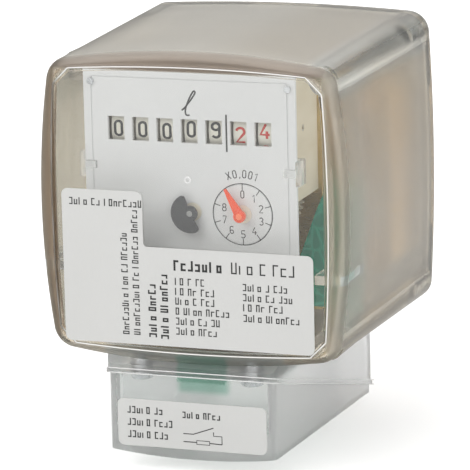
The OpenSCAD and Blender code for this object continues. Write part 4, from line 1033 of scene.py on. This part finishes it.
@dataclass
class Labels:
    """Stand-in print on the two labels: lines of small marks and a switch drawing."""

    data_y: float = -81.8
    notch: Pair = (-9.5, -7.8)
    notch_r: float = 0.9
    contact_y: float = -80.8
    data_lines: tuple[Line, ...] = (
        Line((-25.4, 0.3), (4, 2, 8)),
        Line((-13.0, -26.4), (9, 3, 2, 6), 1.4, tilt=Tilt.UPRIGHT),
        Line((-10.6, -26.4), (11, 2, 7, 5), 1.4, tilt=Tilt.UPRIGHT),
        Line((-7.0, -26.7), (4, 5), 1.7, 0.32, Tilt.UPRIGHT),
        Line((-4.4, -26.9), (4, 7), 1.7, 0.32, Tilt.UPRIGHT),
        Line((-3.0, -12.4), (7,), 2.2, 0.42),
        Line((9.4, -12.4), (3, 1, 3), 2.4, 0.28),
        Line((-2.8, -15.4), (2, 1, 2)),
        Line((-2.8, -17.5), (2, 2, 3)),
        Line((-2.8, -19.5), (3, 1, 3)),
        Line((-2.8, -21.6), (1, 4, 5)),
        Line((-2.8, -23.7), (4, 2, 2)),
        Line((-2.8, -25.8), (4, 4)),
        Line((11.8, -15.8), (4, 1, 3)),
        Line((11.8, -17.9), (4, 2, 3)),
        Line((11.8, -20.0), (2, 2, 3)),
        Line((11.8, -22.2), (4, 7)),
    )
    contact_lines: tuple[Line, ...] = (
        Line((-14.4, -43.4), (5, 2), 1.5, 0.24),
        Line((-14.4, -46.0), (5, 4), 1.5, 0.24),
        Line((-14.4, -48.6), (5, 3), 1.5, 0.24),
        Line((-2.3, -43.7), (4, 4), 1.4, 0.24),
    )
    drawing: tuple[tuple[Pair, ...], ...] = (
        ((-2.2, -47.0), (0.0, -47.0), (4.4, -45.4)),
        ((4.4, -46.3), (4.4, -47.1), (6.2, -47.1), (6.2, -48.8)),
        ((-2.2, -48.7), (0.7, -48.7)),
        ((0.7, -48.3), (3.5, -48.3), (3.5, -49.1), (0.7, -49.1), (0.7, -48.3)),
        ((3.5, -48.7), (6.2, -48.8)),
    )
    drawing_pen: float = 0.2
    shapes: tuple[str, ...] = ("lrt", "lrb", "ltb", "lrtb", "rtb", "lt", "l", "rb")
    wide: float = 0.5
    advance: float = 0.7
    space: float = 0.45
    small: float = 0.74
    inset: float = 0.02
    lift: float = 0.003

    def mark(self, shape: str, width: float, height: float, pen: float) -> list[Piece]:
        """Some sides of a box, as thin bars from the origin upwards: the size of a letter but none of them."""
        inset, lift = self.inset, self.lift
        sides = {
            "l": ((0, 0), (pen, height), 0),
            "r": ((width - pen, 0), (width, height), 0),
            "t": ((inset, height - pen), (width - inset, height - inset / 2), -lift),
            "b": ((inset, inset / 2), (width - inset, pen), -lift),
        }
        return [Bench.bar(*sides[side]) for side in shape]

    def marks(self, lines: Iterable[Line], y: float) -> list[Piece]:
        """Letter-sized boxes in words, which say nothing."""
        parts = []
        for line in lines:
            run, count = 0.0, 0
            for word in line.words:
                for k in range(word):
                    shape = self.shapes[(count * 5 + word * 3) % len(self.shapes)]
                    tall = line.height * (1.0 if k == 0 or (count * 7 + word) % 3 == 0 else self.small)
                    for bar in self.mark(shape, line.height * self.wide, tall, line.pen):
                        Bench.place(bar, (run, 0, 0))
                        Bench.place(bar, (line.at[0], y, line.at[1]), -line.tilt.value)
                        parts.append(bar)
                    run += line.height * self.advance
                    count += 1
                run += line.height * self.space
        return parts

    def build(self) -> list[Piece]:
        """Prints both labels; the larger one's face lies back by the print's height, so the print stays in its box."""
        paper = Bench.refined("data_label", 0)
        Bench.round_upright(paper, self.notch, self.notch_r)
        for vertex in paper.data.vertices:
            if vertex.co.y < (self.data_y + Bench.NEAR) * MM:
                vertex.co.y = (self.data_y + PRINT_T) * MM
        Bench.dress(paper, "label_paper")
        data = Bench.join("data_print", self.marks(self.data_lines, self.data_y + PRINT_T - PRINT_UP))
        y = self.contact_y - PRINT_UP
        parts = self.marks(self.contact_lines, y)
        parts += [Bench.stroke(route, y, self.drawing_pen) for route in self.drawing]
        contact = Bench.join("contact_print", parts)
        for piece in (data, contact):
            Bench.dress(piece, "ink_dark")
        return [paper, data, contact]


@dataclass
class Housing:
    """Metal body, base plate, lower case and gland with the edges of the real pieces."""

    edges: tuple[tuple[str, float, int, str], ...] = (
        ("pulser_case", 0.35, 3, "case_plastic"),
        ("pulser_cap", 0.35, 3, "case_plastic"),
        ("meter_body", 0.5, 2, "brass_turned"),
        ("base_plate", 0.3, 2, "cast_plate"),
        ("cable_gland", 0.25, 2, "gland_grey"),
        ("terminal_block", 0.2, 2, "terminal_green"),
        ("dial_clips", 0.12, 2, "clip_plastic"),
        ("pointer", 0.12, 3, "pointer_red"),
        ("flow_indicator", 0.0, 1, "indicator_grey"),
    )
    tips: tuple[Pair, ...] = ((-2.635, 2.177), (0.75, -5.251))
    tip_round: float = 0.8

    def build(self) -> list[tuple[Piece, str]]:
        """Copies the nodes, rounds their edges and dresses them."""
        made = []
        for node, width, segments, finish in self.edges:
            piece = Bench.refined(node, width, segments)
            if node == "flow_indicator":
                for tip in self.tips:
                    Bench.round_upright(piece, tip, self.tip_round)
                Bench.smooth(piece, Bench.SHADED)
            Bench.dress(piece, finish)
            made.append((piece, node))
        return made


@dataclass
class CaseTrim:
    """Painted highlights along the edges of the rib round the lower case, as two bright thin beads."""

    left: float = -19.05
    right: float = 18.45
    front: float = -81.25
    back: float = -16.0
    front_z: float = -34.85
    slope: float = 14.904
    corner: float = 1.8
    rises: Pair = (0.0, 0.95)
    thick: float = 0.24

    def loop(self, rise: float) -> list[Triple]:
        """Points round the case at a height above the parting line."""
        r = self.corner
        turns = (math.pi, 2.6, 2.1, math.pi / 2)
        half = [(self.left, self.back), (self.left, self.front + r)]
        half += [(self.left + r + r * math.cos(a), self.front + r - r * math.sin(a)) for a in turns]
        plan = half + [(self.left + self.right - x, y) for x, y in reversed(half)]
        tilt = math.tan(math.radians(self.slope))
        return [(x, y, self.front_z - (y - self.front) * tilt + rise) for x, y in plan]

    def build(self) -> list[Piece]:
        """Models the two highlight beads."""
        edges = [Bench.wire(f"rib_edge_{k + 1}", self.loop(rise), self.thick) for k, rise in enumerate(self.rises)]
        for edge in edges:
            Bench.dress(edge, "rib_edge_painted_highlight")
        return edges


@dataclass
class Pins:
    """A paler disc on the pointer's hub, which is a painted highlight, and a paler pin in the middle of the flow
    indicator.
    """

    pins: tuple[tuple[str, str, Triple, float, str], ...] = (
        ("pointer_pin", "pointer_arbor", (9.5, -76.5, -1.7), 0.66, "painted_highlight_orange"),
        ("indicator_pin", "indicator", (-1.3, -76.1, -1.7), 0.62, "pin_grey"),
    )
    thick: float = 0.16
    edge: float = 0.05

    def build(self) -> list[tuple[Piece, str]]:
        """Models the disc and the pin each as a short rounded rod."""
        made = []
        for name, body, at, radius, finish in self.pins:
            pin = Bench.rod(name, at, radius, self.thick, 32)
            Bench.finish_edges(pin, self.edge)
            Bench.smooth(pin)
            Bench.dress(pin, finish)
            made.append((pin, body))
        return made


@dataclass
class Studio:
    """Camera at the photograph's angle, soft lamps, white world and pale floor; lamps and floor are in metres."""

    camera_at: Triple = (257.19, -772.67, 164.94)
    azimuth: float = 19.656
    elevation: float = 12.986
    roll: float = -1.33
    focal: float = 3738.0
    sensor: float = 36.0
    world_light: float = 0.55
    floor_light: float = 0.42
    floor_size: float = 8.0
    floor_gap: float = 0.0003
    lamps: tuple[tuple[Triple, float, float], ...] = (
        ((-0.45, -0.75, 0.75), 0.9, 5.0),
        ((0.85, -0.45, 0.35), 0.8, 2.6),
        ((-0.2, 0.7, 0.7), 0.9, 3.0),
    )
    aim: Triple = (0.0, -0.04, -0.01)

    def camera(self) -> None:
        """Places the camera as fitted to the photograph."""
        data = bpy.data.cameras.new("camera")
        data.sensor_fit = "HORIZONTAL"
        data.sensor_width = self.sensor
        data.lens = self.focal / PIXELS * self.sensor
        data.clip_start = 0.01
        made = Bench.add("camera", data)
        a, e, r = (math.radians(v) for v in (self.azimuth, self.elevation, self.roll))
        back = Vector((math.sin(a) * math.cos(e), -math.cos(a) * math.cos(e), math.sin(e)))
        right = Vector((math.cos(a), math.sin(a), 0.0))
        up = Vector((-math.sin(a) * math.sin(e), math.cos(a) * math.sin(e), math.cos(e)))
        side = right * math.cos(r) + up * math.sin(r)
        top = up * math.cos(r) - right * math.sin(r)
        turn = Matrix((side, top, back)).transposed().to_4x4()
        made.matrix_world = Matrix.Translation(Vector(self.camera_at) * MM) @ turn
        bpy.context.scene.camera = made

    def light(self) -> None:
        """Adds the lamps and a world that is white to the camera."""
        for k, (at, size, power) in enumerate(self.lamps):
            data = bpy.data.lights.new(f"lamp_{k + 1}", "AREA")
            data.size = size
            data.energy = power
            made = Bench.add(f"lamp_{k + 1}", data)
            way = Vector(self.aim) - Vector(at)
            made.matrix_world = Matrix.Translation(at) @ way.to_track_quat("-Z", "Y").to_matrix().to_4x4()
        paint = Paint("white_world", world=True)
        white = tone("ffffff")
        dim = paint.node("ShaderNodeBackground", {"Color": white, "Strength": self.world_light})
        bright = paint.node("ShaderNodeBackground", {"Color": white, "Strength": 1.0})
        seen = paint.rays("Camera", "Transmission")
        bpy.context.scene.world = paint.close(paint.node("ShaderNodeMixShader", {0: seen, 1: dim, 2: bright}))

    def floor(self) -> None:
        """Lays a pale floor under the meter that keeps its shadow."""
        low = (0, 0, CAD_BOX[0].z - self.floor_gap)
        made = Bench.start("floor", bpy.ops.mesh.primitive_plane_add, size=self.floor_size, location=low)
        paint = Paint("floor_white")
        cloud = paint.noise(3, 2)
        colour = paint.mix(cloud, tone("f7f7f7"), tone("f1f1f1"))
        matt = paint.surface(Base_Color=colour, Roughness=cloud * 0.1 + 0.75)
        glow = paint.node("ShaderNodeEmission", {"Color": tone("ffffff"), "Strength": self.floor_light})
        both = paint.node("ShaderNodeAddShader", {0: matt, 1: glow})
        seen = paint.rays("Camera", "Transmission")
        made.data.materials.append(paint.close(paint.node("ShaderNodeMixShader", {0: seen, 1: matt, 2: both})))


def main() -> None:
    """Builds the studio and the meter's pieces in order."""
    logging.basicConfig(level=logging.INFO, format="%(message)s")
    bpy.context.scene.view_settings.view_transform = "Standard"
    studio = Studio()
    studio.camera()
    studio.light()
    studio.floor()
    dress_nodes()
    fixed = [assembly().build() for assembly in (Hood, DialFace, Labels, CaseTrim)]
    for piece in (piece for pieces in fixed for piece in pieces):
        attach(piece, "meter")
        LOG.info("made %s", piece.name)
    for k, piece in enumerate(Counter().build()):
        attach(piece, f"numeral_roller_{k + 1}")
        LOG.info("made %s", piece.name)
    for piece, body in Pins().build():
        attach(piece, body)
        LOG.info("made %s", piece.name)
    for piece, node in Housing().build():
        body = next(b for b, nodes in frame["record"]["behaviour"]["bodies"].items() if node in nodes)
        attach(piece, body)
        LOG.info("made %s", piece.name)


if __name__ == "__main__":
    main()
